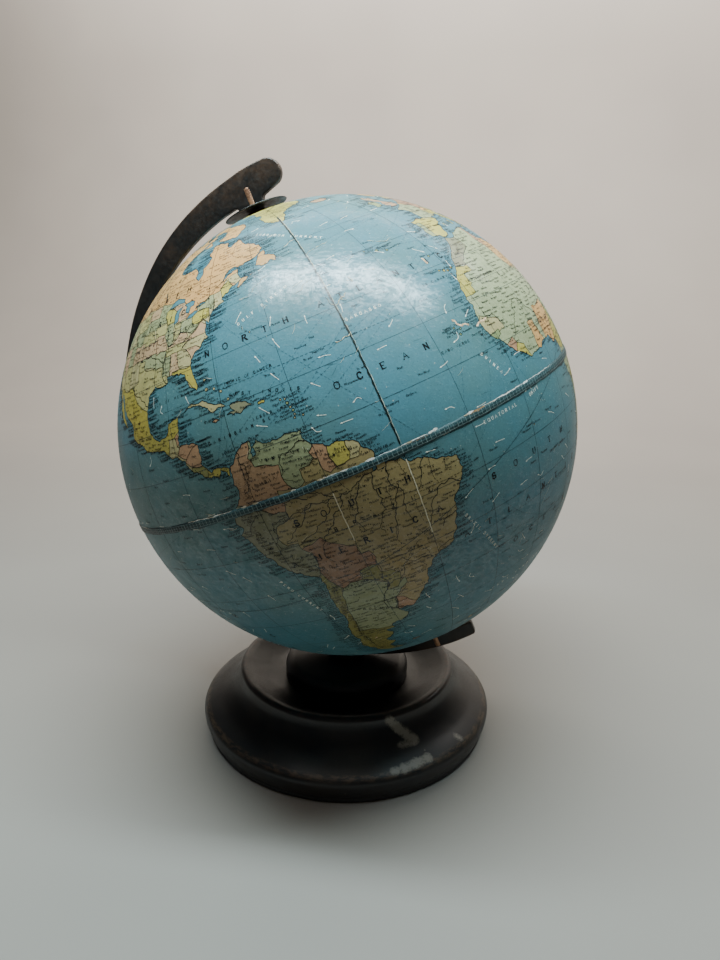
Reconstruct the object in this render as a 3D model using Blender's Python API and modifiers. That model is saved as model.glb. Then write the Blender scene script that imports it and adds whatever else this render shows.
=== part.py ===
"""Terrestrial desk globe: a tilted 12-inch globe on a cast half-meridian arm and a spun metal base.

Metres, +Z up. The origin is the centre of the base's underside. The arm stands in the XZ plane on
the -X side, and the north pole leans to -X. In the globe's own axes, s is the distance from its
centre along the axis, positive to the north, and t the distance across the axis in the arm's plane.
"""
import math

import bmesh
import bpy
from mathutils import Matrix, Vector

MM = 0.001

# Driving dimensions
GLOBE_RADIUS = 152.4 * MM          # 12-inch globe, over the map
CENTRE_HEIGHT = 223.0 * MM         # globe centre above the table
AXIS_TILT = math.radians(23.5)
REST_SPIN = math.radians(-22.85)   # where the Greenwich meridian stands at rest, about the axis
FIT_GAP = 0.3 * MM                 # clearance between touching pieces

# Ball
FACET_ANGLE = 10.0                 # degrees between the ball's facets, both ways
GORE_COUNT = 12
GORE_THICKNESS = 0.4 * MM
GORE_TOP_LATITUDE = 86.0
SHELL_GAP = 0.7 * MM               # from the outside of the map to the outside of the shells
SHELL_THICKNESS = 2.4 * MM
SHELL_HOLE_RADIUS = 5.2 * MM
TAPE_HALF_WIDTH = 1.8 * MM
TAPE_THICKNESS = 0.4 * MM
HOOP_RADIUS = 148.1 * MM
HOOP_THICKNESS = 2.0 * MM
HOOP_HALF_HEIGHT = 9.0 * MM
AXIS_TUBE_RADIUS = 9.0 * MM
AXIS_TUBE_BORE_RADIUS = 4.8 * MM
AXIS_TUBE_HALF_LENGTH = 148.2 * MM
FLANGE_RADIUS = 12.0 * MM
FLANGE_LOW = GLOBE_RADIUS * math.sin(math.radians(GORE_TOP_LATITUDE)) + FIT_GAP
FLANGE_THICKNESS = 0.85 * MM
BARREL_RADIUS = 4.5 * MM
BARREL_LENGTH = 6.4 * MM

# Axis pins and what is threaded on them, as distances s from the globe's centre
PIN_RADIUS = 2.0 * MM
PIN_BORE_RADIUS = PIN_RADIUS + FIT_GAP
PIN_INNER_END = 138.0 * MM
NORTH_PIN_END = 169.7 * MM
SCREW_RADIUS = 2.2 * MM
SCREW_END = 173.6 * MM
SCREW_SLOT_WIDTH = 0.8 * MM
SCREW_SLOT_DEPTH = 1.2 * MM
WASHER_RADIUS = 6.0 * MM
WASHER_LOW = FLANGE_LOW + FLANGE_THICKNESS + FIT_GAP
DIAL_RADIUS = 21.5 * MM
DIAL_LOW = 155.6 * MM
DIAL_THICKNESS = 0.8 * MM
NECK_END = 156.8 * MM              # where the arm's two necks stop, short of the dial or washer

# Arm
ARM_THICKNESS = 6.0 * MM
ARM_EDGE_BEVEL = 0.9 * MM
BOSS_RADIUS = 3.5 * MM             # raised ridge round each axis bore, proud of the arm's faces
NORTH_BOSS_END = 172.6 * MM
SOUTH_BOSS_END = 173.2 * MM
FOOT_LOW = 50.8 * MM
FOOT_FLANGE = (13.0 * MM, 53.4 * MM)
FOOT_BOSS = (7.5 * MM, 60.5 * MM)
# Angle from straight up towards -X in degrees, then the outer and inner edges' radii
ARM_STATIONS = (
    (25.0, 181.0 * MM, 162.8 * MM),
    (45.0, 175.5 * MM, 160.6 * MM),
    (60.0, 170.1 * MM, 158.4 * MM),
    (75.0, 165.9 * MM, 157.0 * MM),
    (95.0, 164.8 * MM, 156.8 * MM),
    (135.0, 167.0 * MM, 158.4 * MM),
    (180.0, 171.6 * MM, 161.6 * MM),
    (205.0, 174.2 * MM, 164.4 * MM),
    (215.0, 174.2 * MM, 164.4 * MM),
)

# Base
PAN_THICKNESS = 1.2 * MM
SEAT_HEIGHT = 35.0 * MM
BOLT_HOLE_RADIUS = 3.2 * MM
BOARD_RADIUS = 99.5 * MM
FELT_THICKNESS = 1.6 * MM
BOARD_THICKNESS = 2.3 * MM
CAP_RADIUS = 46.0 * MM
CAP_TOP = 50.5 * MM
SPACER_RADIUS = 6.5 * MM
CLAMP_RADIUS = 22.0 * MM
CLAMP_THICKNESS = 2.5 * MM
LOCK_WASHER_THICKNESS = 1.5 * MM
BOLT_RADIUS = BOLT_HOLE_RADIUS - FIT_GAP
BOLT_TOP = 57.5 * MM
BOLT_HEAD_RADIUS = 5.8 * MM
BOLT_HEAD_HEIGHT = 4.5 * MM

# Steps round a turned piece
PAN_STEPS = 36
BALL_STEPS = round(360 / FACET_ANGLE)
SMALL_STEPS = 24
HEXAGON = 6

for leftover in list(bpy.data.objects):
    bpy.data.objects.remove(leftover, do_unlink=True)


def new_collection(name):
    collection = bpy.data.collections.new(name)
    bpy.context.scene.collection.children.link(collection)
    return collection


def new_material(name, colour, roughness, metallic):
    material = bpy.data.materials.new(name)
    material.use_nodes = True
    shader = material.node_tree.nodes["Principled BSDF"]
    shader.inputs["Base Color"].default_value = (*colour, 1.0)
    shader.inputs["Roughness"].default_value = roughness
    shader.inputs["Metallic"].default_value = metallic
    return material


PARTS = new_collection("desk_globe")
CUTTERS = new_collection("cutters")

BLACK_ENAMEL = new_material("black_enamel", (0.012, 0.012, 0.013), 0.3, 0.0)
BRONZE_PAINT = new_material("bronze_paint", (0.030, 0.024, 0.019), 0.4, 0.2)
DIAL_PAINT = new_material("dial_paint", (0.020, 0.022, 0.020), 0.45, 0.0)
STEEL = new_material("steel", (0.45, 0.44, 0.42), 0.35, 1.0)
BRASS = new_material("brass", (0.55, 0.40, 0.18), 0.35, 1.0)
PULP_BOARD = new_material("pulp_board", (0.33, 0.27, 0.20), 0.9, 0.0)
MAP_PAPER = new_material("map_paper", (0.12, 0.30, 0.36), 0.3, 0.0)
TAPE_PAPER = new_material("tape_paper", (0.03, 0.09, 0.10), 0.4, 0.0)
GREEN_FELT = new_material("green_felt", (0.03, 0.09, 0.05), 0.95, 0.0)
FIBRE = new_material("fibre", (0.20, 0.06, 0.04), 0.8, 0.0)


def add_empty(name, location, rotation, parent=None):
    frame = bpy.data.objects.new(name, None)
    PARTS.objects.link(frame)
    frame.parent = parent
    frame.location = location
    frame.rotation_euler = rotation
    return frame


# The local Z of both frames is the globe's axis. Meridians are counted from ball_frame's X.
AXIS_FRAME = add_empty("axis_frame", (0.0, 0.0, CENTRE_HEIGHT), (0.0, -AXIS_TILT, 0.0))
BALL_FRAME = add_empty("ball_frame", (0.0, 0.0, 0.0), (0.0, 0.0, REST_SPIN), AXIS_FRAME)


def add_part(name, mesh, material, parent=None, rotation=(0.0, 0.0, 0.0)):
    part = bpy.data.objects.new(name, mesh)
    PARTS.objects.link(part)
    if not mesh.materials:
        mesh.materials.append(material)
    part.parent = parent
    part.rotation_euler = rotation
    return part


def add_cutter(name, mesh, parent=None):
    """A shape that only takes part in Booleans."""
    cutter = bpy.data.objects.new(name, mesh)
    CUTTERS.objects.link(cutter)
    cutter.parent = parent
    cutter.hide_render = True
    cutter.display_type = "WIRE"
    return cutter


def boolean(part, operation, other):
    modifier = part.modifiers.new(other.name, "BOOLEAN")
    modifier.operation = operation
    modifier.solver = "EXACT"
    modifier.object = other


def turn(part, steps):
    """Turn the part's profile about its local Z axis."""
    screw = part.modifiers.new("turn", "SCREW")
    screw.axis = "Z"
    screw.steps = steps
    screw.render_steps = steps
    screw.use_merge_vertices = True
    screw.merge_threshold = 0.00001
    screw.use_smooth_shade = True


def profile_mesh(name, points, closed):
    """A line of (radius, height) points at +X, running outwards and then down the outer side."""
    mesh = bpy.data.meshes.new(name)
    edges = [(i, i + 1) for i in range(len(points) - 1)]
    if closed:
        edges.append((len(points) - 1, 0))
    mesh.from_pydata([(radius, 0.0, height) for radius, height in points], edges, [])
    return mesh


def add_ring(name, section, material, steps=SMALL_STEPS, parent=None, turned_by=0.0):
    """A turned piece with a hole along its axis, from a closed section."""
    ring = add_part(name, profile_mesh(name, section, True), material, parent, (0.0, 0.0, turned_by))
    turn(ring, steps)
    return ring


def tube_section(inner, outer, low, high):
    return [(inner, high), (outer, high), (outer, low), (inner, low)]


def sheet_section(outline, thickness):
    """Closed section of a sheet whose outer face is the outline."""
    back = []
    for i, (radius, height) in enumerate(outline):
        before = Vector(outline[max(i - 1, 0)])
        after = Vector(outline[min(i + 1, len(outline) - 1)])
        along = (after - before).normalized()
        back.append((radius + along.y * thickness, height - along.x * thickness))
    return list(outline) + back[::-1]


def arc(centre, radius, start, end, count):
    """Points on an arc from one angle to another, in degrees, both ends included."""
    points = []
    for i in range(count):
        angle = math.radians(start + (end - start) * i / (count - 1))
        points.append((centre[0] + radius * math.cos(angle), centre[1] + radius * math.sin(angle)))
    return points


def cylinder_mesh(name, radius, low, high, steps=SMALL_STEPS):
    mesh = bpy.data.meshes.new(name)
    shape = bmesh.new()
    bmesh.ops.create_cone(shape, cap_ends=True, segments=steps, radius1=radius, radius2=radius,
                          depth=high - low, matrix=Matrix.Translation((0.0, 0.0, (low + high) / 2)))
    shape.to_mesh(mesh)
    shape.free()
    mesh.shade_smooth()
    mesh.set_sharp_from_angle(angle=math.radians(40))
    return mesh


# Base: the spun pan, the cap that carries the arm, and what the bolt clamps


def pan_outline():
    """Outer face of the pan, from the bolt hole out over the raised ring and down to the hem."""
    seat = [(BOLT_HOLE_RADIUS, SEAT_HEIGHT), (50.0 * MM, SEAT_HEIGHT)]
    dish = [(58.0 * MM, 36.6 * MM), (67.0 * MM, 41.0 * MM), (73.0 * MM, 44.5 * MM)]
    ring = arc((76.6 * MM, 41.9 * MM), 3.4 * MM, 96.0, 8.0, 4)
    cove = [(82.0 * MM, 37.0 * MM), (86.5 * MM, 31.2 * MM), (93.0 * MM, 26.0 * MM)]
    shoulder = [(100.0 * MM, 22.0 * MM), (104.4 * MM, 19.3 * MM), (106.8 * MM, 16.8 * MM)]
    skirt = [(107.4 * MM, 14.0 * MM), (106.4 * MM, 9.0 * MM), (104.6 * MM, 4.6 * MM)]
    return seat + dish + ring + cove + shoulder + skirt


def make_base_shells():
    outline = pan_outline()
    sheet = sheet_section(outline, PAN_THICKNESS)
    hem = arc((102.7 * MM, 2.1 * MM), 1.8 * MM, 20.0, -190.0, 7)
    pan = sheet[:len(outline)] + hem + sheet[len(outline):]
    add_ring("base_pan", pan, BLACK_ENAMEL, PAN_STEPS)

    cap = [(BOLT_HOLE_RADIUS, CAP_TOP), (FOOT_FLANGE[0] + MM, CAP_TOP), (30.0 * MM, CAP_TOP - 0.4 * MM)]
    cap += arc((CAP_RADIUS - 7.5 * MM, CAP_TOP - 8.2 * MM), 7.0 * MM, 80.0, 5.0, 5)
    cap += [(CAP_RADIUS, SEAT_HEIGHT + FIT_GAP)]
    add_ring("base_cap", sheet_section(cap, PAN_THICKNESS), BLACK_ENAMEL, PAN_STEPS)

    felt = cylinder_mesh("base_felt", BOARD_RADIUS, 0.0, FELT_THICKNESS, PAN_STEPS)
    add_part("base_felt", felt, GREEN_FELT)
    board_low = FELT_THICKNESS + FIT_GAP
    board = cylinder_mesh("base_board", BOARD_RADIUS, board_low, board_low + BOARD_THICKNESS, PAN_STEPS)
    add_part("base_board", board, PULP_BOARD)


def make_bolt_stack():
    """From the top: spacer inside the cap, then clamp plate, lock washer and bolt under the pan."""
    spacer_high = CAP_TOP - PAN_THICKNESS - FIT_GAP
    spacer = tube_section(BOLT_HOLE_RADIUS, SPACER_RADIUS, SEAT_HEIGHT + FIT_GAP, spacer_high)
    add_ring("bolt_spacer", spacer, STEEL)

    clamp_high = SEAT_HEIGHT - PAN_THICKNESS - FIT_GAP
    clamp_low = clamp_high - CLAMP_THICKNESS
    add_ring("clamp_plate", tube_section(BOLT_HOLE_RADIUS, CLAMP_RADIUS, clamp_low, clamp_high), STEEL)

    lock_high = clamp_low - FIT_GAP
    lock_low = lock_high - LOCK_WASHER_THICKNESS
    add_ring("lock_washer", tube_section(BOLT_HOLE_RADIUS, WASHER_RADIUS, lock_low, lock_high), STEEL)

    head_high = lock_low - FIT_GAP
    head_low = head_high - BOLT_HEAD_HEIGHT
    head = cylinder_mesh("base_bolt", BOLT_HEAD_RADIUS, head_low, head_high, HEXAGON)
    bolt = add_part("base_bolt", head, STEEL)
    shank = cylinder_mesh("bolt_shank", BOLT_RADIUS, (head_low + head_high) / 2, BOLT_TOP)
    boolean(bolt, "UNION", add_cutter("bolt_shank", shank))


# Arm


def station_radii(angle):
    """Outer and inner radius of the arm at an angle in degrees, smooth through the stations."""
    last = len(ARM_STATIONS) - 1
    i = 0
    while i < last - 1 and angle > ARM_STATIONS[i + 1][0]:
        i += 1
    a, b = ARM_STATIONS[i], ARM_STATIONS[i + 1]
    before, after = ARM_STATIONS[max(i - 1, 0)], ARM_STATIONS[min(i + 2, last)]
    span = b[0] - a[0]
    u = (angle - a[0]) / span
    radii = []
    for edge in (1, 2):
        rise_a = (b[edge] - before[edge]) / (b[0] - before[0]) * span
        rise_b = (after[edge] - a[edge]) / (after[0] - a[0]) * span
        radii.append((2 * u ** 3 - 3 * u ** 2 + 1) * a[edge] + (u ** 3 - 2 * u ** 2 + u) * rise_a
                     + (3 * u ** 2 - 2 * u ** 3) * b[edge] + (u ** 3 - u ** 2) * rise_b)
    return radii


def long_edge(edge, start, end, count):
    """Points in (x, z) along the outer edge (0) or the inner edge (1), angles in degrees."""
    points = []
    for i in range(count):
        angle = start + (end - start) * i / (count - 1)
        radius = station_radii(angle)[edge]
        points.append((-radius * math.sin(math.radians(angle)), radius * math.cos(math.radians(angle))))
    return points


def from_axis(points):
    """Points in (t, s) turned into (x, z) from the globe's centre."""
    cos_tilt, sin_tilt = math.cos(AXIS_TILT), math.sin(AXIS_TILT)
    return [(t * cos_tilt - s * sin_tilt, t * sin_tilt + s * cos_tilt) for t, s in points]


def arm_outline():
    """Round the arm: nose, outer edge, tail, south neck, inner edge and north neck."""
    nose = arc((17.0 * MM, 173.4 * MM), 8.9 * MM, -62.0, 84.0, 12)
    nose += [(9.0 * MM, 182.4 * MM), (0.0, 181.9 * MM)]
    tail = arc((27.6 * MM, -170.1 * MM), 1.8 * MM, -85.0, 0.0, 4)
    tail += arc((27.9 * MM, -163.6 * MM), 1.5 * MM, 0.0, 88.0, 4)
    south_neck = [(19.5 * MM, -163.2 * MM)] + arc((10.8 * MM, -161.8 * MM), 2.2 * MM, -80.0, -180.0, 5)
    south_neck += [(8.6 * MM, -NECK_END), (-8.6 * MM, -NECK_END)]
    south_neck += arc((-10.8 * MM, -161.8 * MM), 2.2 * MM, 0.0, -100.0, 5)
    north_neck = arc((-12.6 * MM, 159.6 * MM), 2.2 * MM, 105.0, 0.0, 5)
    north_neck += [(-10.4 * MM, NECK_END), (8.6 * MM, NECK_END), (8.1 * MM, 158.4 * MM)]
    north_neck += arc((10.4 * MM, 160.2 * MM), 2.4 * MM, 180.0, 100.0, 5)
    return (from_axis(nose) + long_edge(0, 27.0, 212.0, 36) + from_axis(tail + south_neck)
            + long_edge(1, 196.0, 31.0, 30) + from_axis(north_neck))


def outline_mesh(name, outline, thickness):
    """A plate of the given thickness, standing in the XZ plane round the globe's centre."""
    curve = bpy.data.curves.new(name, "CURVE")
    curve.dimensions = "2D"
    curve.fill_mode = "BOTH"
    curve.extrude = thickness / 2
    spline = curve.splines.new("POLY")
    spline.points.add(len(outline) - 1)
    for point, (x, z) in zip(spline.points, outline):
        point.co = (x, z, 0.0, 1.0)
    spline.use_cyclic_u = True
    pattern = bpy.data.objects.new(name, curve)
    PARTS.objects.link(pattern)
    bpy.context.view_layer.update()
    evaluated = pattern.evaluated_get(bpy.context.evaluated_depsgraph_get())
    mesh = bpy.data.meshes.new_from_object(evaluated)
    bpy.data.objects.remove(pattern, do_unlink=True)

    shape = bmesh.new()
    shape.from_mesh(mesh)
    bmesh.ops.remove_doubles(shape, verts=shape.verts, dist=0.00001)
    upright = Matrix.Translation((0.0, 0.0, CENTRE_HEIGHT)) @ Matrix.Rotation(math.pi / 2, 4, "X")
    bmesh.ops.transform(shape, matrix=upright, verts=shape.verts)
    bmesh.ops.recalc_face_normals(shape, faces=shape.faces)
    shape.to_mesh(mesh)
    shape.free()
    return mesh


def add_turned_cutter(name, profile, parent=None):
    """A solid of revolution for a Boolean: the profile starts and ends on the axis."""
    cutter = add_cutter(name, profile_mesh(name, profile, False), parent)
    turn(cutter, SMALL_STEPS)
    return cutter


def make_arm():
    arm = add_part("arm", outline_mesh("arm", arm_outline(), ARM_THICKNESS), BRONZE_PAINT)
    bevel = arm.modifiers.new("edge", "BEVEL")
    bevel.width = ARM_EDGE_BEVEL
    bevel.segments = 2
    bevel.limit_method = "ANGLE"
    bevel.angle_limit = math.radians(60)

    neck_low = NECK_END + ARM_EDGE_BEVEL / 2
    dome = arc((0.0, NORTH_BOSS_END - BOSS_RADIUS), BOSS_RADIUS, 90.0, 0.0, 5)
    dome[0] = (0.0, NORTH_BOSS_END)
    north_boss = add_turned_cutter("north_boss", dome + [(BOSS_RADIUS, neck_low), (0.0, neck_low)], AXIS_FRAME)
    boolean(arm, "UNION", north_boss)
    south_boss = cylinder_mesh("south_boss", BOSS_RADIUS, -SOUTH_BOSS_END, -neck_low)
    boolean(arm, "UNION", add_cutter("south_boss", south_boss, AXIS_FRAME))
    foot = [(0.0, FOOT_BOSS[1]), FOOT_BOSS, (FOOT_BOSS[0], FOOT_FLANGE[1] + MM),
            (FOOT_BOSS[0] + MM, FOOT_FLANGE[1]), FOOT_FLANGE, (FOOT_FLANGE[0], FOOT_LOW), (0.0, FOOT_LOW)]
    boolean(arm, "UNION", add_turned_cutter("foot", foot))

    clear = 10.0 * MM
    north_bore = cylinder_mesh("north_bore", PIN_BORE_RADIUS, NECK_END - clear, NORTH_PIN_END + FIT_GAP)
    boolean(arm, "DIFFERENCE", add_cutter("north_bore", north_bore, AXIS_FRAME))
    south_bore = cylinder_mesh("south_bore", SCREW_RADIUS + FIT_GAP, -SCREW_END - clear, -NECK_END + clear)
    boolean(arm, "DIFFERENCE", add_cutter("south_bore", south_bore, AXIS_FRAME))
    bolt_bore = cylinder_mesh("bolt_bore", BOLT_HOLE_RADIUS, FOOT_LOW - clear, BOLT_TOP + FIT_GAP)
    boolean(arm, "DIFFERENCE", add_cutter("bolt_bore", bolt_bore))


# Axis: pins held in the arm, and what turns on them


def make_axis():
    north_pin = cylinder_mesh("north_pin", PIN_RADIUS, PIN_INNER_END, NORTH_PIN_END)
    add_part("north_pin", north_pin, STEEL, AXIS_FRAME)

    screw_mesh = cylinder_mesh("south_pivot_screw", SCREW_RADIUS, -SCREW_END, -NECK_END)
    screw = add_part("south_pivot_screw", screw_mesh, STEEL, AXIS_FRAME)
    point = cylinder_mesh("screw_point", PIN_RADIUS, -NECK_END - MM, -PIN_INNER_END)
    boolean(screw, "UNION", add_cutter("screw_point", point, AXIS_FRAME))
    slot_shape = bmesh.new()
    slot_size = Matrix.Diagonal((4 * SCREW_RADIUS, SCREW_SLOT_WIDTH, 2 * SCREW_SLOT_DEPTH, 1.0))
    bmesh.ops.create_cube(slot_shape, size=1.0, matrix=Matrix.Translation((0.0, 0.0, -SCREW_END)) @ slot_size)
    slot_mesh = bpy.data.meshes.new("screw_slot")
    slot_shape.to_mesh(slot_mesh)
    slot_shape.free()
    boolean(screw, "DIFFERENCE", add_cutter("screw_slot", slot_mesh, AXIS_FRAME))

    dial = tube_section(PIN_BORE_RADIUS, DIAL_RADIUS, DIAL_LOW, DIAL_LOW + DIAL_THICKNESS)
    add_ring("hour_dial", dial, DIAL_PAINT, PAN_STEPS, AXIS_FRAME)
    dial_washer = tube_section(PIN_BORE_RADIUS, WASHER_RADIUS, WASHER_LOW, DIAL_LOW - FIT_GAP)
    add_ring("dial_washer", dial_washer, FIBRE, parent=AXIS_FRAME)
    thrust_washer = tube_section(PIN_BORE_RADIUS, WASHER_RADIUS, FIT_GAP - NECK_END, -WASHER_LOW)
    add_ring("thrust_washer", thrust_washer, FIBRE, parent=AXIS_FRAME)

    flange_high = FLANGE_LOW + FLANGE_THICKNESS
    barrel_low = FLANGE_LOW - BARREL_LENGTH
    north = [(PIN_BORE_RADIUS, flange_high), (FLANGE_RADIUS, flange_high), (FLANGE_RADIUS, FLANGE_LOW),
             (BARREL_RADIUS, FLANGE_LOW), (BARREL_RADIUS, barrel_low), (PIN_BORE_RADIUS, barrel_low)]
    south = [(radius, -height) for radius, height in reversed(north)]
    add_ring("north_ferrule", north, BRASS, BALL_STEPS, AXIS_FRAME)
    add_ring("south_ferrule", south, BRASS, BALL_STEPS, AXIS_FRAME)
    tube = tube_section(AXIS_TUBE_BORE_RADIUS, AXIS_TUBE_RADIUS, -AXIS_TUBE_HALF_LENGTH, AXIS_TUBE_HALF_LENGTH)
    add_ring("axis_tube", tube, PULP_BOARD, parent=AXIS_FRAME)


# Ball: two pulp-board hemispheres, covered with paper gores and taped round the equator


def on_sphere(radius, latitude):
    return (radius * math.cos(math.radians(latitude)), radius * math.sin(math.radians(latitude)))


def make_shells():
    """The facets' corners stand on the same meridians as the gores', half a step from Greenwich."""
    half_step = math.radians(FACET_ANGLE / 2)
    outer = GLOBE_RADIUS - SHELL_GAP
    inner = outer - SHELL_THICKNESS
    hole = SHELL_HOLE_RADIUS
    latitudes = [FACET_ANGLE * i for i in range(round(90 / FACET_ANGLE) - 1, 0, -1)]
    section = [(hole, math.sqrt(outer ** 2 - hole ** 2))]
    section += [on_sphere(outer, latitude) for latitude in latitudes]
    section += [(outer, FIT_GAP / 2), (inner, FIT_GAP / 2)]
    section += [on_sphere(inner, latitude) for latitude in reversed(latitudes)]
    section += [(hole, math.sqrt(inner ** 2 - hole ** 2))]
    mirrored = [(radius, -height) for radius, height in reversed(section)]
    add_ring("north_shell", section, PULP_BOARD, BALL_STEPS, BALL_FRAME, half_step)
    add_ring("south_shell", mirrored, PULP_BOARD, BALL_STEPS, BALL_FRAME, half_step)

    hoop = tube_section(HOOP_RADIUS - HOOP_THICKNESS, HOOP_RADIUS, -HOOP_HALF_HEIGHT, HOOP_HALF_HEIGHT)
    add_ring("equator_hoop", hoop, PULP_BOARD, BALL_STEPS, BALL_FRAME, half_step)
    tape_inner = GLOBE_RADIUS + FIT_GAP
    tape = tube_section(tape_inner, tape_inner + TAPE_THICKNESS, -TAPE_HALF_WIDTH, TAPE_HALF_WIDTH)
    add_ring("equator_tape", tape, TAPE_PAPER, BALL_STEPS, BALL_FRAME, half_step)


def gore_mesh():
    """One northern half-gore centred on the X meridian, from the equator to the ferrule's flange."""
    width = 360.0 / GORE_COUNT
    columns = round(width / FACET_ANGLE)
    latitudes = [FACET_ANGLE * i for i in range(round(90 / FACET_ANGLE))] + [GORE_TOP_LATITUDE]
    shape = bmesh.new()
    rows = []
    for latitude in latitudes:
        ring_radius, height = on_sphere(GLOBE_RADIUS, latitude)
        trim = math.degrees(FIT_GAP / 2 / ring_radius)
        row = []
        for column in range(columns + 1):
            longitude = -width / 2 + width * column / columns
            longitude = max(trim - width / 2, min(width / 2 - trim, longitude))
            angle = math.radians(longitude)
            row.append(shape.verts.new((ring_radius * math.cos(angle), ring_radius * math.sin(angle),
                                        max(height, FIT_GAP / 2))))
        rows.append(row)
    for low, high in zip(rows, rows[1:]):
        for column in range(columns):
            shape.faces.new((low[column], low[column + 1], high[column + 1], high[column]))
    mesh = bpy.data.meshes.new("gore")
    shape.to_mesh(mesh)
    shape.free()
    mesh.shade_smooth()
    return mesh


def make_gores():
    mesh = gore_mesh()
    spacing = 2 * math.pi / GORE_COUNT
    for half, flip in (("north", 0.0), ("south", math.pi)):
        for i in range(GORE_COUNT):
            centre = spacing * i
            gore = add_part(f"gore_{half}_{i + 1:02d}", mesh, MAP_PAPER, BALL_FRAME, (flip, 0.0, centre))
            paper = gore.modifiers.new("paper", "SOLIDIFY")
            paper.thickness = GORE_THICKNESS
            paper.offset = -1.0
            paper.use_even_offset = True


make_base_shells()
make_bolt_stack()
make_arm()
make_axis()
make_shells()
make_gores()
bpy.context.view_layer.update()
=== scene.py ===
"""Looks of the terrestrial desk globe: the printed map on its gores, the base, arm, dial and studio."""
import math
import random

import bmesh
import bpy
import numpy as np
from mathutils import Matrix, Vector
from mathutils.geometry import delaunay_2d_cdt


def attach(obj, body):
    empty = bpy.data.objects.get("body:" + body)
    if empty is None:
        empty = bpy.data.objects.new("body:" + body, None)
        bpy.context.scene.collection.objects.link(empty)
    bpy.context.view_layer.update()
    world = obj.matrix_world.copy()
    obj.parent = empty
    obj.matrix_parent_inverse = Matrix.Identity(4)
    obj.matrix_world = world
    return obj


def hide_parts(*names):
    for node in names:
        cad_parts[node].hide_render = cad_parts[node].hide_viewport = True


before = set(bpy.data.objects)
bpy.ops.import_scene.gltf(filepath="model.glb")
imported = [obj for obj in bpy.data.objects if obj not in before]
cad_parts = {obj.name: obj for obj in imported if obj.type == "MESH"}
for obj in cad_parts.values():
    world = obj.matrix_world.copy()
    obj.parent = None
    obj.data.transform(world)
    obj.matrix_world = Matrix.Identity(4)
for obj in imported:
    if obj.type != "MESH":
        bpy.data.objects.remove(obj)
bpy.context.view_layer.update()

MM = 0.001
GLOBE_RADIUS = 152.4 * MM
CENTRE_HEIGHT = 223.0 * MM
AXIS_TILT = math.radians(23.5)
REST_SPIN = math.radians(-22.85)
AXIS_FRAME = Matrix.Translation((0, 0, CENTRE_HEIGHT)) @ Matrix.Rotation(-AXIS_TILT, 4, "Y")
BALL_FRAME = AXIS_FRAME @ Matrix.Rotation(REST_SPIN, 4, "Z")
BALL_CENTRE = np.array(BALL_FRAME.translation)
DEGREE = GLOBE_RADIUS * math.pi / 180

# The printed map, in degrees
WEST, EAST, POLE = -165.0, 195.0, 86.0
GORES = 12
GORE_WIDTH = 360 // GORES
TROPIC = 23.45
POLAR_CIRCLE = 66.55

# How far each layer stands off the map paper, so that none lies in another
LINE_LIFT = 0.030 * MM
BORDER_LIFT = 0.045 * MM
PRINT_LIFT = 0.050 * MM
ARROW_LIFT = 0.055 * MM
NAME_LIFT = 0.060 * MM
CRACK_LIFT = 0.065 * MM
CRACK_EDGE_LIFT = 0.085 * MM
FLAKE_LIFT = 0.090 * MM
TORN_BOARD_LIFT = 0.50 * MM
TAPE_SCALE_LIFT = 0.54 * MM
TORN_PAPER_LIFT = 0.55 * MM

# ---------------------------------------------------------------- colours


def linear(code):
    """'#RRGGBB' as seen, turned into linear light."""
    values = [int(code[i:i + 2], 16) / 255 for i in (1, 3, 5)]
    return [v / 12.92 if v <= 0.04045 else ((v + 0.055) / 1.055) ** 2.4 for v in values]


TINTS = {
    "ocean": "#568A98", "peach": "#EEB06C", "yellow": "#CDB751", "cream": "#D3C08A", "green": "#9DA670",
    "sage": "#A9AC82", "pink": "#D09A76", "rose": "#B98266", "tan": "#BBA26E", "ochre": "#B79A64",
    "grey": "#989072", "olive": "#9E9350", "lemon": "#D2BE5C", "ice": "#C9CDB8",
    "straw": "#D0C07E", "moss": "#B3B283", "blush": "#DDB288", "savanna": "#B8BC90",
}

# ---------------------------------------------------------------- the map, as longitude,latitude pairs

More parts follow.
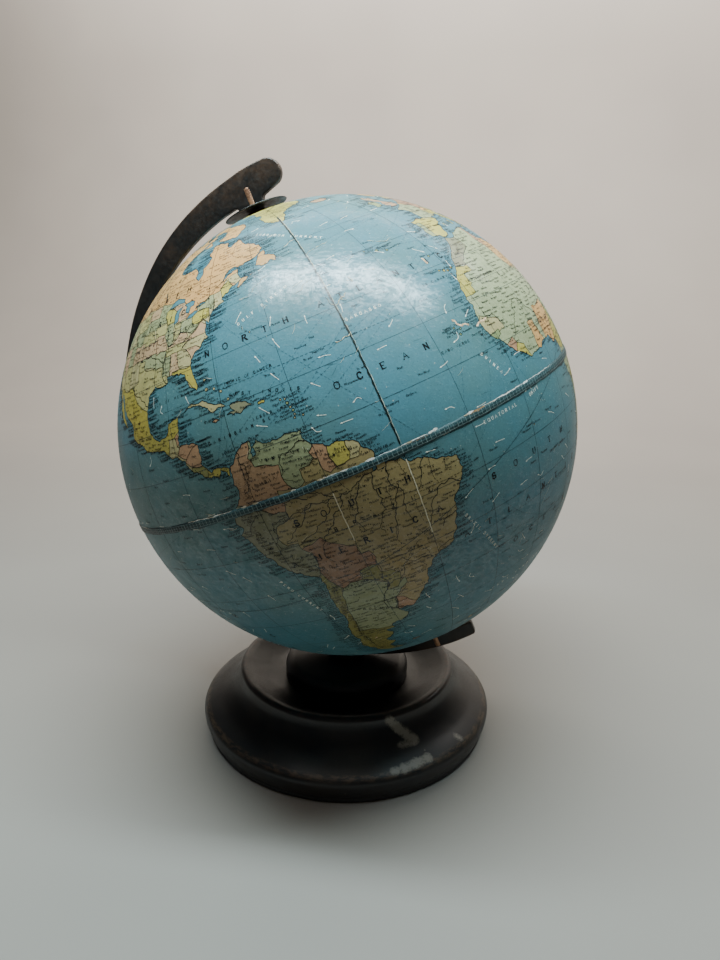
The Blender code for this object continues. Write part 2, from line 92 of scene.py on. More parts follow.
COASTS = {
    "north_america": ("cream", """-168,65.6 -163.8,66.6 -161.8,66.3 -166.4,68.3 -163,69.3 -161.9,70.3
        -156.6,71.3 -148,70.4 -141,69.6 -137,69 -134.5,69.6 -129,70 -125,69.8 -116,68.9 -110,67.9
        -106,68.6 -98,67.8 -94.5,69.5 -96,70.8 -94.5,71.9 -91.5,69.6 -90.5,68.5 -87,67.4 -85.5,68.8
        -81.7,69.4 -82.5,66.6 -86,66.1 -89,64 -92,63 -94.2,61 -94.7,59 -92.8,57 -88,56.5 -82.3,55.1
        -82.2,53 -80.5,51.3 -78.9,52.8 -79.5,54.6 -76.6,57.2 -78.5,58.9 -78,62.4 -74,62.3 -69.6,60.9
        -69.4,59 -67.9,58.2 -64.5,60.3 -61.3,56.5 -57.5,54.5 -55.8,52.6 -56.9,51.4 -60,50.2
        -66.5,50.2 -71,46.9 -68.5,48.4 -65,49.2 -65,47.2 -64.5,46.2 -61.5,45.8 -60,46 -63.6,44.6
        -65.7,43.5 -64.5,45.4 -67,44.8 -70.8,42.6 -70,41.8 -71.4,41.5 -74,40.7 -75.2,38.3 -76.2,39.2
        -76.3,37.2 -75.6,35.3 -77.8,34 -81.2,31.7 -81.3,30 -80.1,26.5 -80.5,25.2 -81.8,26.1
        -82.8,27.8 -83.5,29.5 -85.3,29.7 -89.5,30.3 -89.2,29.1 -94,29.6 -97,28 -97.4,25.9 -97.8,22.5
        -96.2,19.2 -94.5,18.2 -92,18.6 -90.4,21 -87.1,21.5 -87.7,18.5 -88.3,16 -86,15.9 -83.2,15
        -83.7,11.2 -82,9 -79.8,9.5 -77.4,8.7 -77.9,7.2 -79.6,8.9 -80.4,7.5 -82.9,8.2 -85.8,10
        -87.7,12.9 -91.5,14 -94.4,16.2 -99.8,16.8 -105.6,20.4 -105.5,22.5 -109.4,25.7 -112.2,29
        -114.8,31.8 -112.8,28.2 -109.5,23.1 -112.2,24.8 -115,27.8 -117.1,32.5 -120.6,34.6
        -122.5,37.8 -124.3,40.5 -124,46.2 -124.7,48.4 -122.8,49 -127.5,51.2 -130,54 -133.5,58
        -139.7,59.6 -148,60.1 -151.5,59.3 -154.2,58.3 -158,56.3 -164.8,54.6 -157.3,58.8 -162,58.7
        -165.3,61.2 -164.5,63.1 -161,64.2 -166.3,64.6"""),
    "south_america": ("tan", """-77.4,8.7 -75.6,10.2 -74.8,11.1 -71.7,12.4 -71.4,11 -71.9,9.2 -71,9.5
        -71.3,11 -70,12.1 -68.2,10.7 -62,10.7 -61,8.6 -57.2,6 -54.5,5.9 -52.3,5 -50,1.8 -50.6,0.4
        -51.5,-1.4 -49.6,-1.8 -48.5,-0.8 -46,-1.2 -44.3,-2.6 -41.5,-2.9 -37,-4.8 -35.3,-5.3 -34.9,-8
        -36.3,-10.5 -38.4,-13 -39,-16 -39.7,-19.5 -41,-22 -43.2,-23 -46.3,-24 -48.5,-26 -48.8,-28.5
        -52.2,-32.3 -54.5,-34.8 -57.9,-34.4 -58.5,-34.2 -56.7,-36.5 -57.6,-38 -62,-38.9 -62.3,-40.8
        -65,-41 -63.6,-42.6 -65.6,-45 -67.5,-46 -65.8,-47.8 -69,-50.6 -68.4,-52.4 -65.2,-54.6
        -68.5,-55.5 -74.5,-52.5 -75.4,-46.9 -73.5,-41.8 -73.5,-37.3 -71.6,-33 -71.5,-30 -70.2,-21
        -70.3,-18.4 -76,-14 -77.2,-12.1 -79.8,-7.2 -81.3,-4.6 -80,-3.3 -81,-2.2 -80.1,0.5 -78.8,1.6
        -77.3,4 -77.5,7"""),
    "marajo": ("tan", "-50.7,-0.2 -48.6,-0.3 -48.9,-1.6 -50.6,-1.7"),
    "africa": ("savanna", """-5.9,35.8 -2.1,35.1 3,36.9 10,37.3 10.1,34.3 11.2,33.2 15.2,32.3 19,30.3
        20.1,32.2 25,31.6 29,30.9 31,31.5 32.5,31.2 32.6,29.9 35.5,24 37.2,21 39.6,15.5 43.2,11.7
        44.5,10.4 51.2,11.9 50,8 47.9,4.5 41.5,-1.8 38.8,-6.5 40.5,-10.5 40.6,-15 34.8,-19.8
        35.5,-24 32.6,-25.9 30.5,-31 25.7,-34 20,-34.8 18.4,-34.2 16.4,-28.6 14.5,-22.7 11.8,-17.8
        13.8,-11 12.2,-6 9.3,-1.5 9.8,3.5 8.6,4.7 6.1,4.3 4.4,6.3 1.2,6.1 -2,4.8 -7.6,4.4 -11.4,6.8
        -13.3,8.6 -16.7,12.4 -17.5,14.7 -16.3,19.2 -17,20.8 -16,23.7 -14.4,26.2 -12.9,27.9 -9.8,31.4
        -6.8,34"""),
    "eurasia": ("peach", """-5.6,36 -2.1,36.7 -0.2,39.8 3.2,41.9 3.1,43.1 6.2,43.1 8.8,44.4 12.3,41.7
        15.7,40 16,38 18.4,39.9 16,41.8 13.6,43.6 12.4,45.3 13.7,45.6 15.5,44 19.4,41.9 21.5,37.6
        22.5,36.5 24,37.7 22.9,40.5 26,40.8 29,41 28.6,43.8 30.6,46.2 33.5,46 33.5,44.6 36.5,45.3
        39,47.2 37.5,45 41.5,41.6 38,41 35,42 29.1,41.2 26.2,39.4 27.2,37.5 30.6,36.8 32.5,36.1
        36,36.8 35,33 34.3,31.3 32.6,29.9 33.8,28.2 34.9,29.5 37,25 39,21.5 42.7,16.5 43.4,12.7
        52.2,15.6 57.8,18.9 59.8,22.5 56.4,26.3 54.3,24.2 51.3,26 50.1,26.7 48.4,29.9 50.9,28.9
        54.5,26.6 57,27 61.5,25.1 66.6,25.1 69,22.3 72.6,21.5 72.8,19 74.8,13 77.5,8.1 79.8,10.3
        80.2,13.5 82.3,16.6 86.5,20.2 91.8,22.3 94.3,16 97.6,16.4 98.6,12 98.3,8 101.3,2.9 103.5,1.3
        103.3,4.5 100.6,7.2 100,13.4 104.9,8.6 109.3,11.5 108.8,15 105.8,19 108,21.6 114,22.4
        118.5,24.6 121.8,28.5 121.9,31 119.3,35 122.5,37.3 117.8,39 121.3,38.9 124.5,40 126.4,34.5
        129.3,35.4 127.5,39.6 130.7,42.3 135,43.5 140.3,48.5 141.3,53.2 135.3,54.7 143,59.3 155,59.3
        163.5,62.4 155.8,57 156.7,51 162.5,56.2 164.5,60 170.5,60 179.3,62.4 177.5,64.7 187.5,64.4
        190.2,66 180,68.9 170,70 160.8,69.6 152.5,70.8 140,72.5 127,73.4 113.5,73.6 104.3,77.7 87,75
        80.5,73.6 73,71.5 68.5,68.3 67,70.5 60,68.8 48,67.7 44,68.3 44,66.2 40.2,64.6 32.5,66.9
        41.2,66.8 33,69.3 28,71 21,70 15,68.3 9.8,63.8 5.1,62 5.3,59 7.2,58 10.6,59.3 12.8,55.5
        16.5,57 18.8,60 17.2,61.5 21.5,64.5 24.5,65.8 21.3,62.5 22.5,60.1 30,59.9 24.2,58 21.2,57
        18.8,54.6 14.3,53.9 10.8,56.5 10.6,57.7 8.1,56.6 8.6,53.9 4.2,52 1.8,50.9 -1.5,49.6
        -4.7,48.4 -1.5,46.6 -1.8,43.4 -9.2,43 -9.4,38.7 -8.9,37 -6.3,36.8"""),
    "greenland": ("lemon", """-73,78 -68,76 -58.5,75.7 -54.5,72 -54.5,70 -51,69 -53.5,66.8 -51.5,63.5
        -46,60.7 -43.5,59.9 -42.5,61.5 -40,65 -33,67.6 -25,69.3 -22,71.5 -22,74 -18.5,76 -20,78.5
        -13,81.5 -25,83 -38,83.5 -60,82 -66,80"""),
    "baffin": ("peach", """-61.3,66.6 -64,63.4 -66,62 -71,62.8 -77,64.4 -73.5,66.5 -74,68.2 -79,70 -88,70.3
        -89.5,73 -81,73.8 -75,71.8 -68,70"""),
    "victoria": ("peach", "-117,69.8 -105,69 -101,69.8 -105,73 -115,73.4"),
    "banks": ("peach", "-125.5,72 -121,71.3 -116,73 -122,74.5"),
    "ellesmere": ("peach", "-90,77 -79,76.2 -75,79 -62,82.3 -75,83.2 -92,81.5"),
    "devon": ("peach", "-96,75 -80,74.6 -80,75.8 -92,76.7"),
    "melville": ("peach", "-117,75.5 -106,74.8 -105,76.5 -117,76.3"),
    "wales": ("peach", "-102,71.5 -96,72 -98,73.8 -103,73"),
    "southampton": ("peach", "-87,64 -80.5,64 -83.5,66"),
    "newfoundland": ("peach", """-59.3,47.7 -55.8,46.8 -54.5,47.6 -53,46.7 -53,48.7 -55.7,49.8 -55.5,51.5
        -57.3,50.8 -58.8,48.5"""),
    "vancouver": ("peach", "-128.3,50.7 -125,50 -123.5,48.4 -125,48.6"),
    "iceland": ("pink", "-24,65.6 -22.5,64 -18.5,63.4 -13.8,64.8 -15,66.4 -21,66"),
    "britain": ("pink", """-5.6,50 1.3,51.2 1.7,52.7 0.2,53.2 -1.7,55.5 -2,57.7 -4.2,57.7 -3.1,58.6 -5,58.6
        -6.2,56.5 -4.8,54.8 -3,53.8 -4.7,52.8 -4.4,52.2 -5.3,51.8 -3,51.3"""),
    "ireland": ("green", "-10,51.6 -6.3,52.2 -5.6,54.6 -7.5,55.3 -10,54.2 -9,53.2"),
    "cuba": ("cream", "-84.9,21.9 -82.5,23.1 -79.5,22.9 -75.6,21 -74.2,20.2 -77.6,19.8 -78.5,21 -82,22.4"),
    "hispaniola": ("grey", "-74.4,18.4 -72.4,18.5 -73.3,19.9 -70,19.7 -68.4,18.6 -71.4,17.7"),
    "jamaica": ("pink", "-78.3,18.2 -77.5,18.5 -76.3,18 -77.5,17.8"),
    "puerto_rico": ("yellow", "-67.2,18.5 -65.7,18.5 -66,17.9 -67.2,18"),
    "trinidad": ("pink", "-61.8,10.1 -61,10.1 -61,10.8 -61.6,10.7"),
    "falklands": ("pink", "-61,-51.8 -59,-51.3 -57.8,-51.7 -60,-52.3"),
    "madagascar": ("green", """49.3,-12 50.4,-15.8 47.1,-24.9 45,-25.5 43.3,-22 44.4,-19.8 44.3,-16.2
        47,-15.3"""),
    "ceylon": ("pink", "79.8,9.7 81.8,7.5 80.5,5.9 79.8,7.5"),
    "sumatra": ("yellow", "95.3,5.6 98,4.2 103,0.3 106,-3 105.8,-5.9 102.3,-4 98.7,1.7"),
    "java": ("yellow", "105.3,-6.8 108.5,-6.7 114.4,-7.8 114.4,-8.7 108,-7.8"),
    "borneo": ("yellow", """109,1.5 111.5,2.6 114.8,5 116.8,7 119,5.2 117.5,2 118.8,1 116.3,-3.5 114.5,-4.1
        110.2,-2.8"""),
    "celebes": ("yellow", """119.5,-5.5 120.4,-5.5 121,-2.7 123,-4 122,-1 124.9,1.7 120.9,1.2 119.8,0.2
        118.9,-3"""),
    "new_guinea": ("pink", """131,-0.8 134,-0.8 135,-3.3 138,-1.8 141,-2.6 145.8,-5 147.9,-6.7 150.7,-10.4
        147.5,-9.9 144,-7.7 141,-9.1 138,-8.3 137.9,-5.3 133,-4"""),
    "luzon": ("green", "120.6,18.5 122.2,18.4 121.7,15.9 124,12.7 120.6,13.8 119.9,16.3"),
    "visayas": ("green", "122,11.8 125,12.3 125.3,10.3 122.9,9.2"),
    "mindanao": ("green", "122,7 125.4,5.6 126.5,7.5 125.5,9.8 123.5,8.6"),
    "formosa": ("pink", "120.1,23 121,25 121.9,25 120.9,22"),
    "hainan": ("yellow", "108.7,19.2 110.6,20 110.5,18.6"),
    "honshu": ("pink", """130.9,34 132.6,35.5 136,35.8 138.5,37.3 140,40.5 141.3,41.4 142,39.5 140.9,36
        138.8,34.7 135.7,33.5 133,34.3"""),
    "kyushu": ("pink", "129.7,33 131.8,33.5 131.3,31.3 130.2,31.3"),
    "shikoku": ("pink", "132.5,34 134.5,34.2 133,32.8"),
    "hokkaido": ("pink", "140,41.6 141.8,45.4 145.3,43.3 143.2,42"),
    "sakhalin": ("pink", "142,46 142,54.3 143.3,51.5 143.2,49 142.5,47.4"),
    "north_island": ("pink", """172.7,-34.5 175.5,-36.5 178.4,-37.7 177,-39.5 175.3,-41.5 173.8,-39.2
        174.7,-37.5"""),
    "south_island": ("pink", "172.7,-40.6 174.2,-41.8 171,-44.5 168.4,-46.6 166.5,-46 170,-43"),
    "australia": ("pink", """114,-22 116.8,-20.6 122,-18 125,-14.8 129,-14.9 132.5,-11.5 136.8,-12.2
        135.7,-15 139.3,-17.4 141.6,-15 142.5,-10.8 145.3,-15 146.5,-19 149.5,-22.3 153,-25.5
        153.3,-29 151.5,-33 150,-37.3 146.3,-39 143.5,-38.8 140.5,-38 138,-35.3 135.5,-34.7
        131,-31.6 124,-33 120,-34 117.8,-35 115,-34.3 115.7,-31.7 113.4,-26"""),
    "tasmania": ("pink", "144.8,-40.8 148.3,-40.9 147.8,-43.2 146,-43.5"),
    "novaya_zemlya": ("peach", "52,71 56,73.5 68,76.8 60,76 55,73 57.5,70.7"),
    "svalbard": ("pink", "11,79 16,76.8 22,78.3 27,80 15,79.9"),
    "sicily": ("yellow", "12.5,38 15.5,38.2 15.1,36.7"),
    "sardinia": ("yellow", "8.3,41 9.7,41 9.5,39.1 8.4,39"),
    "corsica": ("green", "8.6,42.5 9.4,42.9 9.5,42 9,41.4"),
    "crete": ("pink", "23.6,35.4 26.3,35.2 24.7,34.9"),
    "cyprus": ("pink", "32.4,35 34.5,35.6 33.8,34.7"),
    "antarctica": ("ice", """-166,-77 -150,-76 -130,-74 -100,-73 -75,-73 -67,-68 -58,-63.3 -62,-66 -61,-74
        -78,-79 -60,-81 -35,-78.5 -20,-73.5 0,-70.3 30,-69.5 55,-66 85,-67 110,-66.3 140,-66.7 165,-71
        165,-78 196,-77 196,-88 -166,-88"""),
}

# Specks of land: longitude, latitude, radius in degrees, tint
ISLETS = (
    (-78, 26.6, 0.35, "cream"), (-77.9, 24.6, 0.4, "cream"), (-76, 24.2, 0.3, "cream"),
    (-74.5, 23.2, 0.3, "cream"), (-73.2, 21.2, 0.3, "cream"), (-61.6, 16.2, 0.3, "green"),
    (-61.3, 15.3, 0.25, "cream"), (-61, 14.6, 0.28, "green"), (-61, 13.8, 0.25, "cream"),
    (-61.2, 13.2, 0.22, "cream"), (-59.5, 13.1, 0.22, "cream"), (-62.7, 17.3, 0.22, "cream"),
    (-61.8, 17.1, 0.22, "cream"), (-64.8, 32.3, 0.2, "cream"), (-25.5, 37.8, 0.3, "green"),
    (-28, 38.6, 0.35, "green"), (-31.1, 39.5, 0.2, "green"), (-17, 32.7, 0.3, "green"),
    (-17.9, 28.7, 0.25, "yellow"), (-16.6, 28.3, 0.35, "yellow"), (-15.6, 28, 0.3, "yellow"),
    (-14, 28.4, 0.35, "yellow"), (-24.3, 16.6, 0.25, "green"), (-23.6, 15, 0.3, "green"),
    (-22.9, 16, 0.22, "green"), (-14.4, -7.9, 0.2, "cream"), (-5.7, -16, 0.2, "cream"),
    (-12.3, -37.1, 0.2, "cream"), (-36.8, -54.4, 0.7, "cream"), (-90.8, -0.6, 0.5, "tan"),
    (-109.4, -27.1, 0.2, "tan"), (55.5, -21.1, 0.3, "green"), (57.6, -20.3, 0.28, "cream"),
    (-155.5, 19.6, 0.55, "yellow"), (-158, 21.5, 0.3, "yellow"), (-159.5, 22, 0.25, "yellow"),
    (165.5, -21.5, 0.7, "green"), (178, -17.8, 0.6, "cream"), (-172, -13.7, 0.35, "cream"),
    (-149.5, -17.6, 0.3, "green"), (8.7, 3.5, 0.3, "yellow"), (6.6, 0.2, 0.25, "green"),
    (43.4, -11.8, 0.3, "green"), (159.5, -8.5, 0.6, "cream"), (154.9, -6.2, 0.6, "cream"),
    (150, -5.6, 0.8, "cream"), (167, -15.5, 0.5, "cream"), (69.5, -49.3, 0.6, "green"),
    (124.8, -9.2, 0.8, "green"), (120, -8.6, 0.7, "yellow"), (128.5, -3.3, 0.8, "yellow"),
    (2.8, 39.6, 0.4, "lemon"),
)

# Painted over the land in this order, so only the borders that show need care
REGIONS = (
    ("yellow", """-120,33 -96,33 -86,22 -86.5,20 -88.3,18.4 -89.2,17.9 -91,17.8 -91.4,16 -92.2,14.5 -98,13
        -120,20"""),
    ("cream", """-92.2,14.5 -91.4,16 -91,17.8 -89.2,17.9 -88.9,15.9 -88.2,15.7 -89.3,14.4 -90.1,13.5
        -92,13.5"""),
    ("pink", "-89.3,14.4 -88.2,15.8 -86,16.5 -82.8,15.2 -84.8,14.8 -87,13 -88,13.3"),
    ("pink", "-89.2,17.9 -88.3,18.5 -87.5,17 -88.9,15.9"),
    ("pink", "-87.7,12.5 -86.8,13.4 -84.8,14.8 -82.8,15.2 -83,10.9 -85.7,11"),
    ("olive", "-86.5,11.1 -83,10.9 -82.5,9.5 -83,8 -86,9"),
    ("yellow", "-83,8 -82.5,9.8 -80,10 -77.4,8.9 -77.4,7 -80,6.5"),
    ("cream", """-128,49 -128,32 -117.1,32.5 -114.7,32.7 -111,31.3 -108.2,31.3 -108.2,31.8 -106.5,31.8
        -104.9,30.6 -103.2,29 -102.4,29.8 -101.4,29.8 -99.5,27.5 -97.1,25.9 -90,23.8 -78,24 -66,43 -66,48
        -95,50"""),
    # the states of the middle continent, west to east
    ("moss", "-126,49 -117,49 -117,42 -126,42"),
    ("straw", "-126,42 -120,42 -120,39 -114.6,35 -114.6,32.6 -118,32 -126,38"),
    ("blush", "-120,42 -114,42 -114,36 -114.6,35 -120,39"),
    ("cream", "-117,49 -116,49 -114,46 -111,45 -111,42 -117,42"),
    ("straw", "-116,49 -104,49 -104,45 -111,45 -114,46"),
    ("moss", "-111,45 -104,45 -104,41 -111,41"),
    ("moss", "-114,42 -111,42 -111,41 -109,41 -109,37 -114,37"),
    ("blush", "-109,41 -102,41 -102,37 -109,37"),
    ("straw", "-114.6,37 -109,37 -109,31.3 -111,31.3 -114.8,32.5"),
    ("blush", "-104,49 -97,49 -96.5,46 -104,46"),
    ("moss", "-104,46 -96.5,46 -96.5,43 -104,43"),
    ("straw", "-104,43 -98,43 -95.8,40 -102,40 -102,41 -104,41"),
    ("blush", "-102,40 -95,40 -94.6,37 -102,37"),
    ("moss", "-103,37 -94.5,37 -94.5,33.7 -100,34.6 -100,36.5 -103,36.5"),
    ("straw", """-106.6,32 -103,32 -103,36.5 -100,36.5 -100,34.5 -94.2,33.5 -94,30 -93.8,29 -97,25 -100,26
        -104,29"""),
    ("moss", "-97,49 -95,49.4 -89.5,48 -92.3,46.5 -92.8,45 -91.2,43.5 -96.5,43.5"),
    ("straw", "-96.5,43.5 -91.2,43.5 -90.2,41.8 -91.5,40.6 -95.8,40.6"),
    ("blush", "-95.8,40.6 -91.5,40.6 -90,38 -89.5,36.5 -94.6,36.5"),
    ("moss", "-94.6,36.5 -90,36.5 -91.1,33 -94.1,33"),
    ("straw", "-94.1,33 -91.1,33 -91.5,31 -89.7,31 -88.5,29 -94,29"),
    ("lemon", "-92.8,46.5 -90,46.6 -87.5,45 -87.8,42.5 -90.6,42.5 -92.8,45"),
    ("blush", "-87,42 -82.5,42 -82,45.5 -85,47 -90,46.6 -87.5,45"),
    ("moss", "-90.6,42.5 -87.6,42.5 -87.5,38 -89.2,37 -91.4,40"),
    ("straw", "-87.5,41.7 -84.8,41.7 -84.8,39.2 -87.5,38"),
    ("moss", "-84.8,41.7 -80.5,42 -80.5,40.5 -82.5,38.5 -84.8,39.2"),
    ("blush", "-89.2,37 -86,38 -84.8,39.2 -82.6,38.5 -82,37.5 -83.7,36.6 -89.4,36.6"),
    ("straw", "-90,36.6 -82,36.6 -84.3,35 -90.2,35"),
    ("moss", "-90.2,35 -88.2,35 -88.4,30.2 -89.7,31 -91.5,31 -91,33"),
    ("blush", "-88.2,35 -85.6,35 -85,31 -87.6,31 -87.7,30 -88.4,30.2"),
    ("cream", "-85.6,35 -83.1,35 -81,32 -81.5,30.7 -85,31"),
    ("yellow", "-87.6,31 -85,31 -81.5,30.7 -79.5,26 -80,24.5 -84,29 -87.6,30"),
    ("blush", "-83.1,35 -79.5,34.5 -78,33.5 -81,31.8"),
    ("cream", "-84.3,35 -81.7,36.6 -75,36.6 -75,34.5 -78,33.6 -79.5,34.5"),
    ("blush", "-83.7,36.6 -75.8,36.6 -75.5,38 -77.5,39.4 -80.5,37.5"),
    ("moss", "-82.5,38.5 -80.5,40.5 -80.5,39.7 -77.8,39.3 -80.5,37.5"),
    ("lemon", "-80.5,42 -75,42 -74.7,40 -75.5,39.7 -80.5,39.7"),
    ("moss", "-79.8,42.2 -79,43.3 -76,44 -74.7,45 -73.4,45 -73.5,41 -75,42"),
    ("cream", "-73.4,45 -71,45 -70.6,43 -69,41 -73.5,40.8"),
    ("lemon", "-71,45 -70.3,46 -67,48 -66,44 -70.6,43"),
    ("peach", """-141,72 -141,60.3 -139,60 -137.5,58.9 -135.5,59.7 -133.8,58.7 -131.8,56.6 -130,55.9
        -130.5,54.7 -134,52 -128,47.5 -123.3,49 -95.2,49 -94.6,48.7 -92,48.3 -89.6,48 -88,48.3 -84.9,46.9
        -84.1,46.2 -83.5,45.8 -82.5,45.3 -82.4,43 -83.1,42.1 -82.5,41.7 -79,42.7 -79.1,43.5 -76.5,44.1
        -74.8,45 -71.5,45 -70.3,46 -69.2,47.4 -68,47.1 -67.8,45.7 -67,44.8 -65.5,42.5 -50,42 -50,60 -58,66
        -75,73.5 -62,84 -120,84 -141,76"""),
    ("cream", "-69.2,47.4 -67.8,46 -66,44.9 -63.8,45.9 -65,48.2 -67,48"),
    # South America
    ("pink", """-79.5,1.5 -77,0.4 -75.3,0 -72.5,-2.4 -70,-2.7 -69.9,-4.2 -69.4,-1 -69.8,1.7 -66.9,1.2
        -67.4,2.2 -67.8,4 -67.5,6.2 -70,7 -72.2,7.3 -72.5,8.6 -73,9.3 -72,11.1 -71,12.4 -73,13
        -78,10 -77.2,8.6 -77.9,7.2 -79.5,6"""),
    ("sage", """-72,11.1 -73,9.3 -72.5,8.6 -72.2,7.3 -70,7 -67.5,6.2 -67.8,4 -67.4,2.2 -66.9,1.2 -65.5,0.8
        -64,1.6 -64.1,4 -62,4 -60.8,5 -61.2,6.3 -60.3,7 -59.9,8.3 -60.5,10 -61.5,12 -71.5,13"""),
    ("pink", """-60.5,9.5 -59.9,8.3 -60.3,7 -61.2,6.3 -60.8,5 -60,4.5 -59.9,2.4 -58.8,1.3 -57.3,1.9 -58,4
        -57.2,6.5"""),
    ("lemon", "-57.2,6.8 -58,4 -57.3,1.9 -56,1.9 -54.6,2.3 -54,3.6 -54.4,5 -53.8,7"),
    ("cream", "-53.8,7 -54.4,5 -54,3.6 -54.6,2.3 -52.8,2.2 -51.6,4.1 -50.5,6"),
    ("grey", "-82,1.5 -79,1.5 -77,0.4 -75.3,0 -75.5,-1.5 -78.3,-3.4 -79,-5 -80.4,-4.3 -82,-3.4"),
    ("grey", """-75.3,0 -72.5,-2.4 -70,-2.7 -69.9,-4.2 -73,-5 -74,-7.5 -72.9,-9.4 -70.6,-9.6 -70.5,-11
        -69,-12.5 -68.9,-15 -69.6,-17.3 -70.4,-18.4 -72,-20 -84,-8 -82,-3.4 -80.4,-4.3 -79,-5
        -78.3,-3.4 -75.5,-1.5"""),
    ("rose", """-69.6,-17.3 -68.9,-15 -69,-12.5 -70.5,-11 -66,-9.8 -65.3,-11 -61.8,-13.5 -60.2,-14 -60,-16.3
        -58.3,-16.3 -57.6,-18.2 -58.2,-19.8 -62,-20 -62.3,-22.2 -65,-22 -67.2,-22.8 -68.5,-20.5"""),
    ("sage", """-67.2,-22.8 -65,-22 -62.3,-22.2 -57.7,-25.2 -58.6,-27.2 -56,-27.3 -53.8,-25.6 -53.8,-27.2
        -55.7,-28.3 -57.6,-30.2 -58.2,-33 -58.3,-34 -54,-36 -56,-40 -60,-45 -64,-52 -63,-56 -68.6,-56
        -68.5,-52.4 -72,-51.5 -73,-49 -71.7,-44 -71.5,-38 -70,-33 -69,-28 -68.3,-24.5"""),
    ("olive", """-71.5,-38 -65,-39.5 -60,-40.6 -58,-43 -62,-52 -63,-56 -68.6,-56 -68.5,-52.4 -72,-51.5
        -73,-49 -71.7,-44"""),
    ("olive", """-62.3,-22.2 -62,-20 -58.2,-19.8 -58,-22 -55.8,-22.4 -54.3,-24 -54.7,-25.6 -56,-27.3
        -58.6,-27.2 -57.7,-25.2"""),
    ("pink", "-57.6,-30.2 -56,-30.8 -53.4,-33.7 -53,-36 -58.3,-34.5 -58.2,-33"),
    ("olive", """-70.4,-18.4 -69.6,-17.4 -68.5,-20.5 -67.2,-22.8 -68.3,-24.5 -69,-28 -70,-33 -71.5,-38
        -71.7,-44 -73,-49 -72,-51.5 -68.5,-52.4 -68.6,-56 -72,-57 -80,-50 -76,-38 -73,-22"""),
    # Africa
    ("grey", "-13,28 -8.7,27.7 -8.7,28.7 -3.6,31 -1.2,32.2 -2,35.2 -5.9,36.5 -11,33"),
    ("lemon", "-17.5,21 -13,21.3 -13,23 -12,23.5 -12,26 -8.7,26 -8.7,27.7 -13.5,28.5 -18,24"),
    ("pink", "8.4,37.5 7.7,33.3 9.5,30.2 11.5,33.2 12,38"),
    ("peach", "11.5,33.3 9.5,30.2 9.5,26.5 12,23.5 14.2,22.6 16,23.4 24,19.5 25,22 25,33 15,34"),
    ("pink", "25,33 25,22 37,22 34.3,27.8 34.3,31.5 32,33"),
    ("yellow", "25,22 24,19.5 24,15.7 22.5,11 24,8.7 27.4,5 31,3.7 34,4.3 36,10 37,17 38.6,18 37,22"),
    ("green", "36,15 34,10.5 33,8 35.5,5 41.8,4 48,8 42.8,10.9 42.4,12.4 39.5,14.5"),
    ("olive", "41.8,4 41,-0.8 41.6,-2 52,8 52,12.5 44,11.5 43,10.9 48,8"),
    ("pink", "29.6,-1.4 29.8,-4.4 31,-8.3 34.6,-11.6 40.8,-10.5 42,-2 41,-0.8 41.8,4 36,4.5 31,3.7"),
    ("lemon", """12.2,-5.8 16.6,-5.9 17.5,-8 21.8,-7.5 22,-11 24,-11 27.5,-12.2 29.8,-13.4 28.6,-9 30.8,-8.3
        29.4,-4.4 29.6,-1.4 31,2.2 30,4.3 27.4,5 22.5,4.2 18.5,4.6 18,0 16,-2.5 13,-4.6"""),
    ("green", """11.5,-5.8 16.6,-5.9 17.5,-8 21.8,-7.5 22,-11 24,-11 24,-13 22,-13 22,-16.2 23.3,-17.6
        11.5,-17.3"""),
    ("yellow", "8.5,4.5 10,7 14.2,11.5 14.5,13 15.5,8 15,3 16,1.8 9.6,2.2"),
    ("peach", "2.7,6.2 2.7,9 3.6,11.7 4,13.5 7,13 13.5,13.8 14.2,12 10,7 8.5,4.5 6,3.5 3.5,5.5"),
    ("peach", "-3.1,4.5 -2.9,11 0,11 1.2,6 0,5"),
    ("lemon", "-11.5,6.8 -10.3,8.5 -8.3,7.6 -7.5,4.2 -9.5,4.8"),
    ("pink", "-13.6,9 -11,10 -10.3,8.5 -11.5,6.8"),
    ("cream", "-18,15 -16.5,16.6 -12,14.8 -11.5,12.4 -16.8,12.3"),
    ("green", "-17,12.3 -13.7,12.7 -13.7,11.6 -15.2,10.8 -16.5,11"),
    ("yellow", "11.7,-17.3 23.3,-17.6 25,-18 21,-18.3 21,-22 20,-22 20,-28.5 16.4,-28.6 13,-23"),
    ("pink", "21,-18.3 25,-18 29.4,-22.2 25.6,-25.6 20.7,-26.9 20,-24.8 20,-22 21,-22"),
    ("rose", """22,-13 24,-13 24,-11 29.8,-13.4 28.6,-8.5 31,-8.3 33,-9.6 33,-14 30.2,-15 32.8,-17
        31.3,-22.3 29.4,-22.2 25,-18 23.3,-17.6 22,-16.2"""),
    ("yellow", """34.6,-11.6 41,-10.5 41,-16 35.5,-21 36,-25 32.8,-27 32,-26 31.3,-22.3 32.8,-17 30.2,-15
        33,-14"""),
    ("pink", """16.4,-28.6 20,-28.5 20,-24.8 20.7,-26.9 25.6,-25.6 29.4,-22.2 31.3,-22.3 32,-26 33,-27
        31,-36 17,-36"""),
    # Europe and Asia
    ("lemon", "-10,44 -1.5,43.3 3.3,42.4 5,40 -1,35.8 -7,35.8 -10,36"),
    ("green", "-9.8,42 -6.5,42 -7.3,37 -9.8,36.8"),
    ("sage", "-5,49 -1,50 2.5,51.1 8,49 7.5,47.5 6,46.2 7.5,43.8 5,42.5 3.2,42.4 -1.8,43.3"),
    ("yellow", "7.5,43.8 6,46.2 10,46.5 13.8,46.5 13,44 19,40 16,36 12,41"),
    ("rose", "4,51.5 8,49 7.5,47.5 13,47.6 15,51 19,50 18.8,55 9,55.2 6,54"),
    ("green", "14,49 19,50 24,50 26.5,48.3 22,46 13.5,46.5 13,47.6"),
